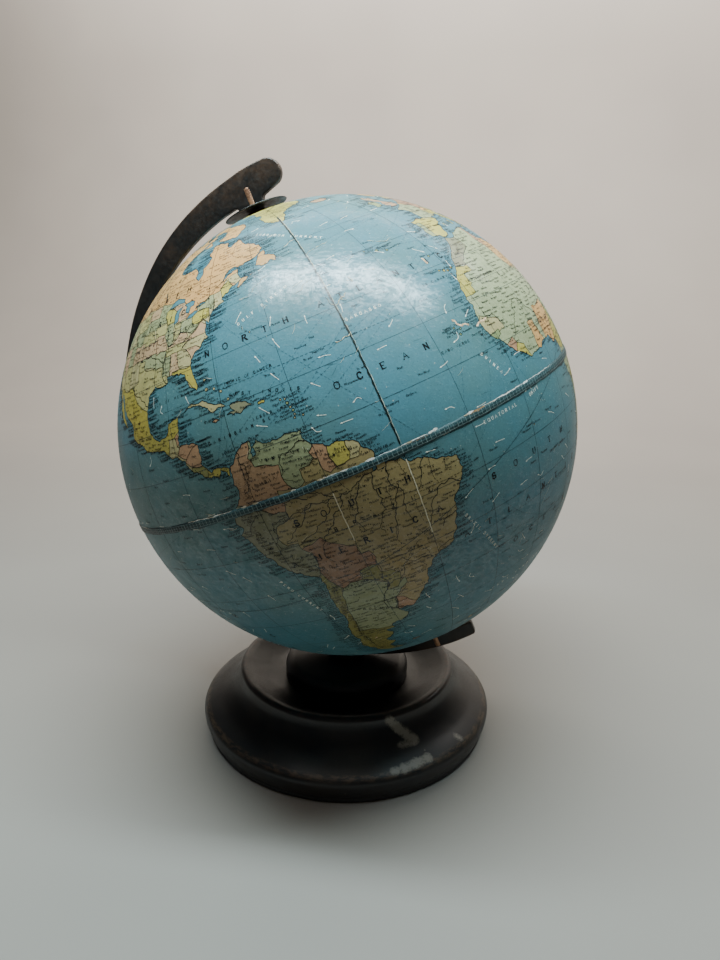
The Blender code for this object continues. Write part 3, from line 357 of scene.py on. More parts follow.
    ("pink", "19,50 18.8,55 24,56 28,54 26.5,48.3 24,50"),
    ("cream", "13.5,46.5 22,46 29,44 28.5,41.8 23,41 20,39 19,42"),
    ("sage", "20,39 23,41 26.5,41.5 27,36 21,35"),
    ("yellow", "10.6,59.3 12,64 16,68.5 20.5,69 24,66 17,60 16,56 12,55.5"),
    ("sage", "20.5,69 28,70.2 29.5,66.5 31.5,62.5 28,60 21,59.5 22,64 24,66"),
    ("green", "26,41.8 41.5,41.6 45,39.5 44.5,37 36,36.5 26,35.5"),
    ("pink", "36,36.5 44.5,37 48.5,30.5 46,29 39,32 34.8,29.5 33.5,31.5"),
    ("yellow", "34.8,29.5 39,32 46,29 48.5,28.5 57,23 60,22 52,14 43,12"),
    ("sage", "44.5,37 45,39.5 48.5,38 54,37 61,36.5 61.5,25 57,26 50,29"),
    ("green", "61,36.5 71,37.5 74.5,37 69.5,31.5 66.5,29.5 61,29.5"),
    ("pink", """61.5,25 61,29.5 66.5,29.5 69.5,31.5 74.5,37 79,32.5 88,28 97,28 94,21.5 85,17 80,6 72,8
        66,24"""),
    ("cream", "79,32.5 81,30.2 88,27.8 88,26.5 80,28.7"),
    ("yellow", """74.5,37 73.5,39.5 80,42.5 80.5,45 87,49 91,45 97,42.7 105,41.7 112,43.5 116,46.5 120,47
        120,53.3 126,52.5 131,47.8 135,48.3 131,43 125,40 125,30 118,20 108,20 98,25 97,28 88,28
        79,32.5"""),
    ("green", "87,49 98,50.5 108,49.5 116,49.8 116,46.5 112,43.5 105,41.7 97,42.7 91,45"),
    ("cream", "74.5,37 79,32.5 88,28 97,28 98,31 94,36 83,36"),
    ("rose", "97,28 98,25 101.5,21 98,17 98.5,10 92,16 91.5,22"),
    ("cream", "98,17 101.5,20 105,17.5 105.5,14 102.5,12 100,6.5 98,10"),
    ("green", "101.5,20 102,22.5 108,21.5 111,12 104,8 102.5,12 105.5,14 105,17.5"),
    ("pink", "100,6.5 103,6 105,0.5 100,3"),
    ("rose", "124.2,40 130.6,42.5 130.5,34 125,33.5"),
    ("peach", "114.5,4.9 119.5,5.5 117.5,7.5 109.3,2.2 110,1 114,1.5"),
    ("olive", "129,0 141,-2 141,-9.5 130,-9"),
)

LAKES = (
    "-92,46.7 -88.5,48.7 -84.8,47.5 -84.8,46.6 -88,46.9 -90.5,46.8",
    "-87.8,42 -86.3,42.3 -86.3,44.5 -85,45.8 -87.5,45.3 -87.9,43.3",
    "-84.3,45.8 -80.3,45.5 -80.5,44.6 -81.8,44.5 -82.3,43.1 -83.7,43.8 -83.3,45.1",
    "-83.2,41.6 -79,42.6 -79,42.9 -82.5,42.1", "-79.7,43.3 -76.3,43.6 -76.5,44.1 -79.2,43.8",
    "-98.5,53.5 -96.5,50.6 -97.5,52", "-116,61 -111,62.5 -114.5,62.3", "-124,66 -119,65.3 -120,66.8",
    "47,44.5 51,47 53,46.5 51,44.5 53,41.5 53.8,37 50,37.5 49.3,40.5", "58.5,44 61,44 60.5,46.5 58.8,46",
    "104,51.5 109.7,55.7 108.5,53.5", "31.8,-2.5 33.8,-2.3 34,0.3 31.8,0", "29.3,-3.4 30.7,-8.6 29.5,-6",
    "34,-9.6 35,-14.2 34.3,-11", "-70,-15.3 -68.7,-16.4 -69.5,-16.2",
)

RIVERS = (
    "-50.6,-1 -52,-1.6 -55,-2.2 -58.5,-3.2 -62,-3.8 -65,-2.7 -68,-3.6 -70,-4.2 -73.5,-4 -73.6,-7 -74.8,-10",
    "-60,-3.1 -62,-1.6 -65,-0.4 -67.5,2", "-58.7,-3.4 -61,-6 -63,-8.5 -65.3,-10.3 -66.5,-13 -65.5,-16",
    "-61.5,-3.9 -63,-6 -65.5,-7.5 -68,-9 -71,-10", "-64.5,-2.8 -67,-5 -70,-7 -72.5,-8.5",
    "-54.8,-2.4 -56.5,-5 -58,-8.5 -57.5,-12", "-52,-1.7 -52.5,-4 -51.8,-7 -53.5,-11 -53.8,-14",
    "-49,-1.7 -49.5,-4.5 -48,-6.5 -48.3,-10 -48,-14.5", "-48.3,-5.4 -49.5,-8 -51,-12 -52.5,-16.5",
    "-36.4,-10.4 -38.5,-9 -40.8,-9.4 -43.2,-12 -44.5,-15.5 -45,-19.5", "-41.8,-2.9 -43,-5 -45,-8.5",
    "-58.4,-34 -60.5,-32.5 -58.8,-27.3 -54.6,-25.5 -53,-22.5 -50.5,-20 -47.5,-18.5",
    "-58.7,-27.3 -57.6,-25 -58,-20 -57.5,-16.5", "-58.3,-33.5 -57.6,-30 -54,-27.3",
    "-61,8.7 -64,8 -67.3,6.3 -67.8,4 -66,2.5", "-74.8,11 -74,8 -75,4 -76,2",
    "-65,-1.9 -69,-1 -73,0.5 -76,1.2", "-46.5,-23.5 -49,-22.5 -52.5,-21", "-39,-15.8 -41,-16.3 -42.5,-17.5",
    "-41,-21.6 -43,-21.8 -45,-22.8",
    "-89.3,29.2 -91.2,31 -91,34 -89.2,37 -90.5,39 -91.2,43 -93,45 -95,47.2",
    "-90.2,38.7 -94.6,39.2 -96,42 -100.5,44.5 -104,48 -111,47.5", "-89.2,37 -86,38 -84,39 -80.5,40.5",
    "-91,34 -95,36 -100,37.5 -105,38.5", "-97.2,25.9 -99.5,27.5 -103,29.2 -106.5,31.8 -106.5,37",
    "-114.8,32 -114.5,36 -110,38.5 -106,40", "-71,46.9 -74,45.3 -76.4,44.2", "-76,39 -77,41 -75.5,43",
    "-134.5,69 -129,66 -121,61.8 -113.5,61 -111.5,58", "-164,62.7 -157,64.5 -150,65.3 -141,64.8 -135,62",
    "6,4.5 6.7,7.8 4,11.5 0,16 -3,17 -5,14 -8,12 -10.7,9.3", "-16.4,16 -13,16 -11,13.5",
    "31,31.3 31,27 33,24.5 31.5,20 33.5,18 32.5,15.6 31.5,10 31,5 32,2", "32.5,15.6 35,11 37.3,12",
    "12.5,-6 15.3,-4.3 17.7,-0.5 21.5,2 25,0.5 26,-4.5 26.5,-10",
    "36.3,-18.8 33,-16.5 28.5,-16.5 25,-17.8 23,-14", "16.5,-28.6 20,-28.8 24,-29 28,-30.5",
    "29.6,45.2 24,43.8 20,45 19,47.8 16.5,48.2 9,48", "4.5,51.9 7,51 8.2,49 8,47.6",
    "47.8,46 45.5,48.5 49.5,53.5 49,55.8 44,56.3 39,58 33,57", "69,66.5 65.5,64.5 69,61 77,61 85,56.5",
    "82.7,71 86.5,66.5 90,61 92.5,56", "127,72.5 123.5,67 129,63 120,60.5 107,55",
    "141,53 137,50.3 131,47.8 127.5,50.2 121,53.3",
    "121.5,31.4 117.5,31 112,30 107,29.7 103,28.5 99.5,28 97.5,33",
    "118.8,37.7 114,35 110.3,35.5 110.5,40 107,40.5 103.8,36 98,35", "90.5,23.5 87.5,25 82,25.4 78.3,29",
    "67.8,24.2 70.5,29 73,33.5 76,34.5", "90,25 93,26.8 95.5,29 90,29.4 83,30",
    "106.5,10 105,16 101,21 98,27", "48,30.3 44,32.5 41,35 38.5,37.5", "139,-35.3 142,-34 147,-36",
)

# Province borders inside the larger countries
PROVINCES = (
    "-60,-14 -60,-9 -58.5,-7.3 -57,-3 -58.5,0", "-57.5,-9.3 -50.3,-9.8 -50.5,-5.3 -48.5,-5.2",
    "-50.3,-9.8 -52.5,-16 -51,-18", "-47,-1.2 -46.2,-5 -48.5,-5.2", "-46,-9 -43.5,-9 -41,-8.8 -38,-8.9",
    "-46,-13.5 -42,-15 -40,-16", "-50.8,-19.5 -47.5,-20 -47,-22.5 -44.5,-23",
    "-53,-22.5 -49.5,-23.2 -48.2,-25.2", "-53.8,-26.2 -50,-26.2 -48.6,-26",
    "-53.8,-27.3 -51,-28 -49.7,-29.3", "-46,-9 -46.2,-13.5 -46,-15", "-41,-3 -41.2,-7.5 -40.5,-8.8",
    "-38,-4.8 -38.7,-7 -37,-7.5", "-37,-6 -35,-6.5", "-38,-8.9 -35,-8.8", "-120,49 -120,60",
    "-110,49 -110,60", "-102,49 -102,60", "-141,60 -95,60", "-95,49.5 -95,53 -89,56.8",
    "-79.5,51.4 -79.5,47 -74.5,45.3", "-64.5,60 -67,55 -64,52.5 -57,51.5", "-102,60 -102,66",
    "129,-15 129,-31.5", "138,-16 138,-26 129,-26", "141,-18 141,-34 141,-38", "141,-29 153,-28.3",
    "142,-34.5 147,-36.2 150,-37.4",
)

# ---------------------------------------------------------------- geometry of the ball


def pairs(text):
    return [tuple(float(v) for v in item.split(",")) for item in text.split()]


def on_ball(lonlat, radius):
    """Points of the map lifted to a radius from the ball's centre, in the world at rest."""
    lonlat = np.radians(np.asarray(lonlat, dtype=float))
    lon, lat = lonlat[:, 0], lonlat[:, 1]
    unit = np.stack([np.cos(lat) * np.cos(lon), np.cos(lat) * np.sin(lon), np.sin(lat)], 1)
    turn = np.array(BALL_FRAME.to_3x3())
    return unit @ turn.T * np.asarray(radius).reshape(-1, 1) + BALL_CENTRE


def stepped(lon, lat, angle, along, aside=0.0):
    """The map point that lies a way along and aside of another, in degrees of the ball."""
    squeeze = math.cos(math.radians(lat))
    east = along * math.cos(angle) - aside * math.sin(angle)
    north = along * math.sin(angle) + aside * math.cos(angle)
    return lon + east / squeeze, lat + north


def roughened(points, closed, step=0.55, depth=0.16, seed=1):
    """Break each long edge at its middle, pushed aside, until no edge is longer than step degrees."""
    chance = random.Random(seed)
    ends = list(points) + ([points[0]] if closed else [])
    result = [ends[0]]

    def split(a, b):
        squeeze = max(0.2, math.cos(math.radians((a[1] + b[1]) / 2)))
        dx, dy = (b[0] - a[0]) * squeeze, b[1] - a[1]
        length = math.hypot(dx, dy)
        if length <= step:
            result.append(b)
            return
        push = chance.uniform(-depth, depth) * min(length, 4.0)
        middle = ((a[0] + b[0]) / 2 - dy / length * push / squeeze, (a[1] + b[1]) / 2 + dx / length * push)
        split(a, middle)
        split(middle, b)

    for a, b in zip(ends, ends[1:]):
        split(a, b)
    return result[:-1] if closed else result


def inside(points, outline):
    """Which of the points lie inside a closed outline."""
    outline = np.asarray(outline)
    result = np.zeros(len(points), dtype=bool)
    low, high = outline.min(0), outline.max(0)
    near = np.where(np.all((points >= low) & (points <= high), axis=1))[0]
    if not len(near):
        return result
    x, y = points[near, 0], points[near, 1]
    odd = np.zeros(len(near), dtype=bool)
    for (ax, ay), (bx, by) in zip(outline, np.roll(outline, -1, axis=0)):
        if ay != by:
            odd ^= ((ay > y) != (by > y)) & (x < (bx - ax) * (y - ay) / (by - ay) + ax)
    result[near] = odd
    return result


def map_shapes():
    """Closed outlines with their tint and kind, in painting order, wrapped round the date line."""
    shapes = []
    for seed, (tint, text) in enumerate(COASTS.values()):
        shapes.append((roughened(pairs(text), True, seed=seed), tint, "land"))
    for lon, lat, radius, tint in ISLETS:
        circle = [(lon + radius * math.cos(a) / math.cos(math.radians(lat)), lat + radius * math.sin(a))
                  for a in (math.tau * i / 6 for i in range(6))]
        shapes.append((roughened(circle, True, seed=round(lon * 7)), tint, "land"))
    for seed, (tint, text) in enumerate(REGIONS):
        shapes.append((roughened(pairs(text), True, 1.2, 0.09, seed + 500), tint, "region"))
    for seed, text in enumerate(LAKES):
        shapes.append((roughened(pairs(text), True, seed=seed + 900), "ocean", "lake"))
    wrapped = []
    for outline, tint, kind in shapes:
        wrapped.append((outline, tint, kind))
        lons = [p[0] for p in outline]
        for shift in (-360, 360):
            if min(lons) + shift < EAST and max(lons) + shift > WEST:
                wrapped.append(([(x + shift, y) for x, y in outline], tint, kind))
    return wrapped


# What owns a place that no shape of land or region colours; both are negative
SEA, LAKE = -1, -2


def painted(points, shapes):
    """For each point the index of the shape that colours it, or SEA or LAKE."""
    land = np.zeros(len(points), dtype=bool)
    owner = np.full(len(points), SEA)
    for index, (outline, _, kind) in enumerate(shapes):
        hit = inside(points, outline)
        if kind == "land":
            land |= hit
            owner[hit] = index
        elif kind == "region":
            owner[hit & land] = index
        else:
            owner[hit & land] = LAKE
    return owner


def triangulated(shapes):
    """The whole map cut into triangles along every outline and gore seam, over an even grid."""
    points, edges = [], []

    def add_path(path, closed):
        first = len(points)
        points.extend(path)
        last = len(points) - 1
        edges.extend((i, i + 1) for i in range(first, last))
        if closed:
            edges.append((last, first))

    for outline, _, _ in shapes:
        if max(p[0] for p in outline) >= WEST and min(p[0] for p in outline) <= EAST:
            add_path(outline, True)
    spacing = 2.5
    columns = round((EAST - WEST) / spacing)
    rows = int(POLE // spacing)
    latitudes = [-POLE] + [spacing * i for i in range(-rows, rows + 1)] + [POLE]
    for seam in range(GORES + 1):
        add_path([(WEST + GORE_WIDTH * seam, y) for y in latitudes], False)
    for y in (-POLE, 0.0, POLE):
        add_path([(WEST + spacing * i, y) for i in range(columns + 1)], False)
    for i in range(columns + 1):
        if spacing * i % GORE_WIDTH:
            points.extend((WEST + spacing * i, y) for y in latitudes[1:-1] if y)
    merge_distance = 1e-4
    found, _, faces = delaunay_2d_cdt([Vector(p) for p in points], edges, [], 0, merge_distance)[:3]
    return np.array([tuple(p) for p in found]), faces


def sheet_object(name, vertices, faces, material, body, smooth_from=None):
    """A mesh of this scene's own, riding on a body."""
    mesh = bpy.data.meshes.new(name)
    mesh.from_pydata([tuple(v) for v in vertices], [], [tuple(int(i) for i in f) for f in faces])
    mesh.shade_smooth()
    if smooth_from is not None:
        normals = np.asarray(vertices) - np.array(smooth_from)
        normals /= np.linalg.norm(normals, axis=1)[:, None]
        mesh.normals_split_custom_set_from_vertices([tuple(n) for n in normals])
    piece = bpy.data.objects.new(name, mesh)
    bpy.context.scene.collection.objects.link(piece)
    mesh.materials.append(material)
    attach(piece, body)
    return piece


LONGEST_STEP = 1.25


def unit_rows(vectors):
    return vectors / (np.linalg.norm(vectors, axis=1)[:, None] + 1e-12)


class Ink:
    """Ribbons of print on the ball, gathered into one piece."""

    def __init__(self, lift):
        self.radius = GLOBE_RADIUS + lift
        self.vertices = []
        self.faces = []
        self.count = 0
        self.dashes = []

    def dash(self, start, end, width):
        """One short straight stroke, without joints, kept till the end to be lifted with all the others."""
        self.dashes.append((*start, *end, width))

    def lay_dashes(self):
        """Turn the kept dashes into four-cornered faces."""
        data = np.array(self.dashes)
        start = on_ball(data[:, 0:2], 1.0) - BALL_CENTRE
        end = on_ball(data[:, 2:4], 1.0) - BALL_CENTRE
        aside = unit_rows(np.cross(start, end - start)) * data[:, 4:5] / 2
        corners = [start * self.radius - aside, end * self.radius - aside,
                   end * self.radius + aside, start * self.radius + aside]
        self.vertices.append((np.stack(corners, 1) + BALL_CENTRE).reshape(-1, 3))
        self.faces.append(self.count + np.arange(4 * len(data)).reshape(-1, 4))
        self.count += 4 * len(data)

    def line(self, path, width):
        """A ribbon along a path of longitude,latitude points, its long stretches bent to the ball."""
        path = np.asarray(path, dtype=float)
        steps = []
        for a, b in zip(path, path[1:]):
            reach = np.abs((b - a) * [math.cos(math.radians(a[1])), 1]).max()
            pieces = max(1, math.ceil(reach / LONGEST_STEP))
            steps.extend(a + (b - a) * i / pieces for i in range(pieces))
        steps.append(path[-1])
        self.strip(steps, width)

    def strip(self, steps, width):
        """A ribbon through the points as they are; width is one number, or one for each point."""
        spots = on_ball(steps, 1.0) - BALL_CENTRE
        ahead = np.roll(spots, -1, 0) - spots
        ahead[-1] = ahead[-2]
        behind = np.roll(ahead, 1, 0)
        behind[0] = ahead[0]
        aside = unit_rows(np.cross(spots, unit_rows(unit_rows(ahead) + unit_rows(behind))))
        half = np.broadcast_to(np.asarray(width) / 2, (len(spots),)).reshape(-1, 1)
        lifted = spots * self.radius + BALL_CENTRE
        left, right = lifted - aside * half, lifted + aside * half
        self.vertices.append(np.stack([left, right], 1).reshape(-1, 3))
        first = self.count + 2 * np.arange(len(spots) - 1)
        self.faces.append(np.stack([first, first + 2, first + 3, first + 1], 1))
        self.count += 2 * len(spots)

    def finish(self, name, material, slot="map_paper"):
        if self.dashes:
            self.lay_dashes()
        vertices, faces = np.vstack(self.vertices), np.vstack(self.faces)
        sheet_object(name, vertices, faces, material, "globe", BALL_CENTRE)


# Letters on an 8 by 8 grid: strokes of column-row points, with ~ before a rounded stroke
LETTERS = {
    "A": "00-48-80 13-73", "B": "10-18 ~18-58-77-65-44-14 ~14-54-74-72-60-10",
    "C": "~76-58-28-06-02-20-50-72", "D": "10-18 ~18-48-86-82-40-10", "E": "10-18 18-78-77 14-54 10-70-71",
    "F": "10-18 18-78-77 14-54", "G": "~76-58-28-06-02-20-50-72 72-74-54", "H": "10-18 70-78 14-74",
    "I": "40-48", "K": "10-18 13-78 34-70", "L": "10-18 10-70-71", "M": "00-08 08-41-88 88-80",
    "N": "10-18 18-70 70-78", "O": "~40-20-02-06-28-68-86-82-60-40", "P": "10-18 ~18-58-77-65-44-14",
    "Q": "~40-20-02-06-28-68-86-82-60-40 53-80", "R": "10-18 ~18-58-77-65-44-14 44-80",
    "S": "~76-58-28-16-14-34-54-73-71-50-20-02", "T": "40-48 07-08-88-87",
    "U": "18-13 ~14-12-20-60-72-74 73-78", "V": "08-40-88", "W": "08-20-46-60-88", "X": "00-88 08-80",
    "Y": "08-44-88 44-40", "Z": "07-08-88 88-00 00-80-81",
}


def rounded(points, rounds=2):
    """Corners cut off, so that a rounded stroke has no kinks."""
    for _ in range(rounds):
        result = [points[0]]
        for a, b in zip(points, points[1:]):
            result.append(a * 0.75 + b * 0.25)
            result.append(a * 0.25 + b * 0.75)
        result.append(points[-1])
        points = result
    return points


def letter_strokes(letter):
    """Each stroke of a letter as points in a unit square, with its serifs."""
    strokes = []
    for text in LETTERS[letter].split():
        curved = text.startswith("~")
        points = [np.array([int(p[0]) / 8, int(p[1]) / 8]) for p in text.lstrip("~").split("-")]
        strokes.append((rounded(points) if curved else points, False))
        if curved:
            continue
        for end, other in ((points[0], points[1]), (points[-1], points[-2])):
            if end[1] in (0.0, 1.0) and abs(other[1] - end[1]) > 0.2:
                strokes.append(([end - [0.16, 0], end + [0.16, 0]], True))
    return strokes


def write(ink, text, lon, lat, spacing, height, lean, weight):
    """Letters centred at longitudes a spacing apart; height in metres, lean in degrees per letter."""
    tall = height / DEGREE
    wide = tall * 0.82
    for index, letter in enumerate(text):
        if letter == " ":
            continue
        at_lon, at_lat = lon + spacing * index, lat + lean * index
        turn = math.atan2(lean, spacing * math.cos(math.radians(at_lat)))
        for points, serif in letter_strokes(letter):
            path = [stepped(at_lon, at_lat, turn, (x - 0.5) * wide, (y - 0.5) * tall) for x, y in points]
            steep = abs(points[-1][1] - points[0][1]) > 0.25
            thickness = height * weight * (0.5 if serif else 1.0 if steep else 0.62)
            ink.line(path, thickness)


# ---------------------------------------------------------------- materials


class Nodes:
    """Short names for the nodes that a material is built from."""

    def __init__(self, name):
        self.material = bpy.data.materials.new(name)
        self.material.use_nodes = True
        self.tree = self.material.node_tree
        self.shader = self.tree.nodes["Principled BSDF"]
        self.place = self.tree.nodes.new("ShaderNodeTexCoord").outputs["Object"]

    def link(self, source, target):
        self.tree.links.new(source, target)

    def noise(self, scale, detail, roughness=0.55, stretch=None):
        node = self.tree.nodes.new("ShaderNodeTexNoise")
        node.inputs["Scale"].default_value = scale
        node.inputs["Detail"].default_value = detail
        node.inputs["Roughness"].default_value = roughness
        place = self.place
        if stretch:
            mapping = self.tree.nodes.new("ShaderNodeMapping")
            mapping.inputs["Scale"].default_value = stretch
            self.link(place, mapping.inputs["Vector"])
            place = mapping.outputs["Vector"]
        self.link(place, node.inputs["Vector"])
        return node.outputs["Fac"]

    def speckle(self, scale, low, high):
        """Small round spots, 1 inside a spot."""
        node = self.tree.nodes.new("ShaderNodeTexVoronoi")
        node.inputs["Scale"].default_value = scale
        self.link(self.place, node.inputs["Vector"])
        return self.span(node.outputs["Distance"], low, high, 1.0, 0.0)

    def span(self, value, low, high, to_low=0.0, to_high=1.0):
        """A value eased from one range into another."""
        node = self.tree.nodes.new("ShaderNodeMapRange")
        node.interpolation_type = "SMOOTHSTEP"
        ends = {"From Min": low, "From Max": high, "To Min": to_low, "To Max": to_high}
        for name, number in ends.items():
            node.inputs[name].default_value = number
        self.link(value, node.inputs["Value"])
        return node.outputs["Result"]

    def maths(self, operation, a, b):
        node = self.tree.nodes.new("ShaderNodeMath")
        node.operation = operation
        for socket, value in ((node.inputs[0], a), (node.inputs[1], b)):
            if isinstance(value, (int, float)):
                socket.default_value = value
            else:
                self.link(value, socket)
        return node.outputs[0]

    def product(self, a, b):
        return self.maths("MULTIPLY", a, b)

    def total(self, *parts):
        result = parts[0]
        for part in parts[1:]:
            result = self.maths("ADD", result, part)
        return result

    def vectors(self, operation, a, b):
        """A vector operation; each side is a socket or a vector."""
        node = self.tree.nodes.new("ShaderNodeVectorMath")
        node.operation = operation
        for socket, value in ((node.inputs[0], a), (node.inputs[1], b)):
            if isinstance(value, Vector):
                socket.default_value = value
            else:
                self.link(value, socket)
        return node

    def mix(self, factor, a, b, blend="MIX"):
        node = self.tree.nodes.new("ShaderNodeMix")
        node.data_type = "RGBA"
        node.blend_type = blend
        for socket, value in ((node.inputs[0], factor), (node.inputs[6], a), (node.inputs[7], b)):
            if isinstance(value, (int, float)):
                socket.default_value = value
            elif isinstance(value, str):
                socket.default_value = (*linear(value), 1.0)
            else:
                self.link(value, socket)
        return node.outputs[2]

    def height(self):
        node = self.tree.nodes.new("ShaderNodeSeparateXYZ")
        self.link(self.place, node.inputs[0])
        return node.outputs["Z"]

    def from_streak(self, start, end):
        """Distance from a straight streak between two places."""
        along = end - start
        offset = self.vectors("SUBTRACT", self.place, start).outputs["Vector"]
        share = self.vectors("DOT_PRODUCT", offset, along / along.length_squared).outputs["Value"]
        nearest = self.tree.nodes.new("ShaderNodeVectorMath")
        nearest.operation = "SCALE"
        nearest.inputs[0].default_value = along
        self.link(self.span(share, 0.0, 1.0), nearest.inputs["Scale"])
        return self.vectors("DISTANCE", offset, nearest.outputs["Vector"]).outputs["Value"]

    def from_axis(self):
        """Distance from the vertical through the origin."""
        flat = self.vectors("MULTIPLY", self.place, Vector((1, 1, 0))).outputs["Vector"]
        return self.vectors("DISTANCE", flat, Vector((0, 0, 0))).outputs["Value"]

    def attribute(self, name):
        node = self.tree.nodes.new("ShaderNodeVertexColor")
        node.layer_name = name
        return node.outputs["Color"]

    def bump(self, height, distance, strength=1.0):
        node = self.tree.nodes.new("ShaderNodeBump")
        node.inputs["Distance"].default_value = distance
        node.inputs["Strength"].default_value = strength
        self.link(height, node.inputs["Height"])
        self.link(node.outputs["Normal"], self.shader.inputs["Normal"])

    def set(self, **values):
        for name, value in values.items():
            socket = self.shader.inputs[name.replace("_", " ")]
            if isinstance(value, str):
                socket.default_value = (*linear(value), 1.0)
            elif isinstance(value, (int, float)):
                socket.default_value = value
            else:
                self.link(value, socket)


def varnish(nodes):
    """The old gloss over all the print: streaked, scuffed and slightly lumpy."""
    lumps = nodes.noise(42, 3)
    patches = nodes.noise(150, 6, 0.75)
    streaks = nodes.noise(330, 6, 0.75, (1.0, 0.35, 2.4))
    crossing = nodes.noise(420, 5, 0.75, (0.35, 1.6, 1.0))
    grain = nodes.noise(1300, 2)
    rough = nodes.total(nodes.span(streaks, 0.42, 0.60, 0.05, 0.26),
                        nodes.span(crossing, 0.50, 0.64, 0.0, 0.12))
    rubbed = nodes.total(nodes.product(patches, 0.45), nodes.product(streaks, 0.55))
    # the dull old varnish shines less at a slant than fresh gloss would
    slant = nodes.tree.nodes.new("ShaderNodeLayerWeight")
    slant.inputs["Blend"].default_value = 0.5
    dulled = nodes.span(slant.outputs["Facing"], 0.30, 0.78, 1.0, 0.12)
    gloss = nodes.product(nodes.span(rubbed, 0.44, 0.54, 0.18, 1.0), dulled)
    nodes.set(Roughness=nodes.span(lumps, 0.3, 0.7, 0.40, 0.5), Specular_IOR_Level=0.12,
              Coat_Weight=gloss, Coat_Roughness=rough, Coat_IOR=1.5)
    relief = nodes.total(nodes.product(lumps, 1.8), nodes.product(grain, 0.05),
                         nodes.product(streaks, 0.50), nodes.product(crossing, 0.40))
    nodes.bump(relief, 0.18 * MM, 0.8)
    nodes.link(nodes.shader.inputs["Normal"].links[0].from_socket, nodes.shader.inputs["Coat Normal"])


def map_paper():
    """The tinted paper, clouded, stained and speckled, and darkened by its old varnish."""
    nodes = Nodes("map_paper")
    colour = nodes.attribute("map_tint")
    clouds = nodes.noise(9, 5, 0.6)
    stain = nodes.noise(26, 6, 0.65)
    fine = nodes.noise(900, 3, 0.6)
    colour = nodes.mix(nodes.span(clouds, 0.35, 0.7, 0.0, 0.32), colour, "#7A8A63")
    colour = nodes.mix(nodes.span(stain, 0.5, 0.75, 0.0, 0.22), colour, "#4A5540")
    colour = nodes.mix(nodes.span(fine, 0.3, 0.7, 0.0, 0.16), colour, "#2E4048")
    colour = nodes.mix(nodes.product(nodes.speckle(520, 0.05, 0.22), 0.35), colour, "#2A3A3C")
    colour = nodes.mix(nodes.product(nodes.speckle(170, 0.02, 0.09), 0.5), colour, "#D8D8C4")
    nodes.set(Base_Color=nodes.mix(1.0, colour, "#E6E4E1", "MULTIPLY"))
    varnish(nodes)
    return nodes.material


def grained(name, grain, edges, colours, relief=None, depth=0.0, **looks):
    """Two colours mixed by a noise between its edges, with a fine relief of its own or the same noise."""
    nodes = Nodes(name)
    mottle = nodes.noise(*grain)
    share = nodes.span(mottle, *edges) if edges else mottle
    looks = {look: nodes.span(mottle, *value) if isinstance(value, tuple) else value
             for look, value in looks.items()}
    nodes.set(Base_Color=nodes.mix(share, *colours), **looks)
    if depth:
        nodes.bump(nodes.noise(*relief) if relief else mottle, depth * MM)
    return nodes.material


def repaint(node, material):
    """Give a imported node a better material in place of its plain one."""
    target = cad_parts[node]
    target.data.materials.clear()
    target.data.materials.append(material)


def ink_material(name, colour):
    """Printing ink under the varnish."""
    nodes = Nodes(name)
    nodes.set(Base_Color=colour)
    varnish(nodes)
    return nodes.material


# ---------------------------------------------------------------- the map's pieces


def facing_out(points, faces):
    """The triangles inside the map that have an area, all wound the same way."""
    least_area = 1e-7
    kept = []
    for face in faces:
        x, y = points[list(face)].mean(0)
        if WEST < x < EAST and -POLE < y < POLE:
            a, b, c = (points[i] for i in face)
            area = (b[0] - a[0]) * (c[1] - a[1]) - (b[1] - a[1]) * (c[0] - a[0])
            if abs(area) > least_area:
                kept.append(tuple(face) if area > 0 else tuple(face)[::-1])
    return np.array(kept)


def make_gores():
    """The map as 24 gores, one for each of the pack's, coloured triangle by triangle."""
    shapes = map_shapes()
    points, faces = triangulated(shapes)
    kept = facing_out(points, faces)
    centres = points[kept].mean(1)
    owner = painted(centres, shapes)
    palette = {name: linear(code) for name, code in TINTS.items()}
    tints = np.array([palette["ocean"] if o < 0 else palette[shapes[o][1]] for o in owner])
    paper = map_paper()
    gore = np.clip(((centres[:, 0] - WEST) // GORE_WIDTH).astype(int), 0, GORES - 1)
    for column in range(GORES):
        for half, north in (("north", True), ("south", False)):
            mine = np.where((gore == column) & ((centres[:, 1] > 0) == north))[0]
            used, local = np.unique(kept[mine], return_inverse=True)
            # the columns start at longitude -165, and gore 01 is centred on Greenwich
            number = (column - 5) % GORES + 1
            piece = sheet_object(f"map_{half}_{number:02d}", on_ball(points[used], GLOBE_RADIUS),
                                 local.reshape(-1, 3), paper, "globe", BALL_CENTRE)
            layer = piece.data.color_attributes.new("map_tint", "FLOAT_COLOR", "CORNER")
            values = np.ones((len(piece.data.loops), 4), dtype=np.float32)
            values[:, :3] = np.repeat(tints[mine], 3, axis=0)
            layer.data.foreach_set("color", values.ravel())
            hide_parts(f"gore_{half}_{number:02d}")
    return shapes, points, kept, owner


def outlines(points, faces, owner):
    """Coast, border and state lines: the edges between triangles of different colour, as chains."""
    sides = {}
    for face, mine in zip(faces, owner):
        for a, b in zip(face, np.roll(face, -1)):
            sides.setdefault((min(a, b), max(a, b)), []).append(mine)
    chains = {"coast": [], "border": []}
    for kind in chains:
        links = {}
        for (a, b), pair in sides.items():
            if len(pair) != 2 or pair[0] == pair[1] or max(pair) < 0:
                continue
            if (min(pair) < 0) == (kind == "coast"):
                links.setdefault(a, set()).add(b)
                links.setdefault(b, set()).add(a)
        starts = [v for v in sorted(links) if len(links[v]) != 2] + sorted(links)
        for start in starts:
            while links.get(start):
                chain, here = [start], start
                while links.get(here):
                    after = min(links[here])
                    links[here].discard(after)
                    links[after].discard(here)
                    chain.append(after)
                    here = after
                    if len(links[here]) != 1:
                        break
                chains[kind].append(points[chain])
    return chains


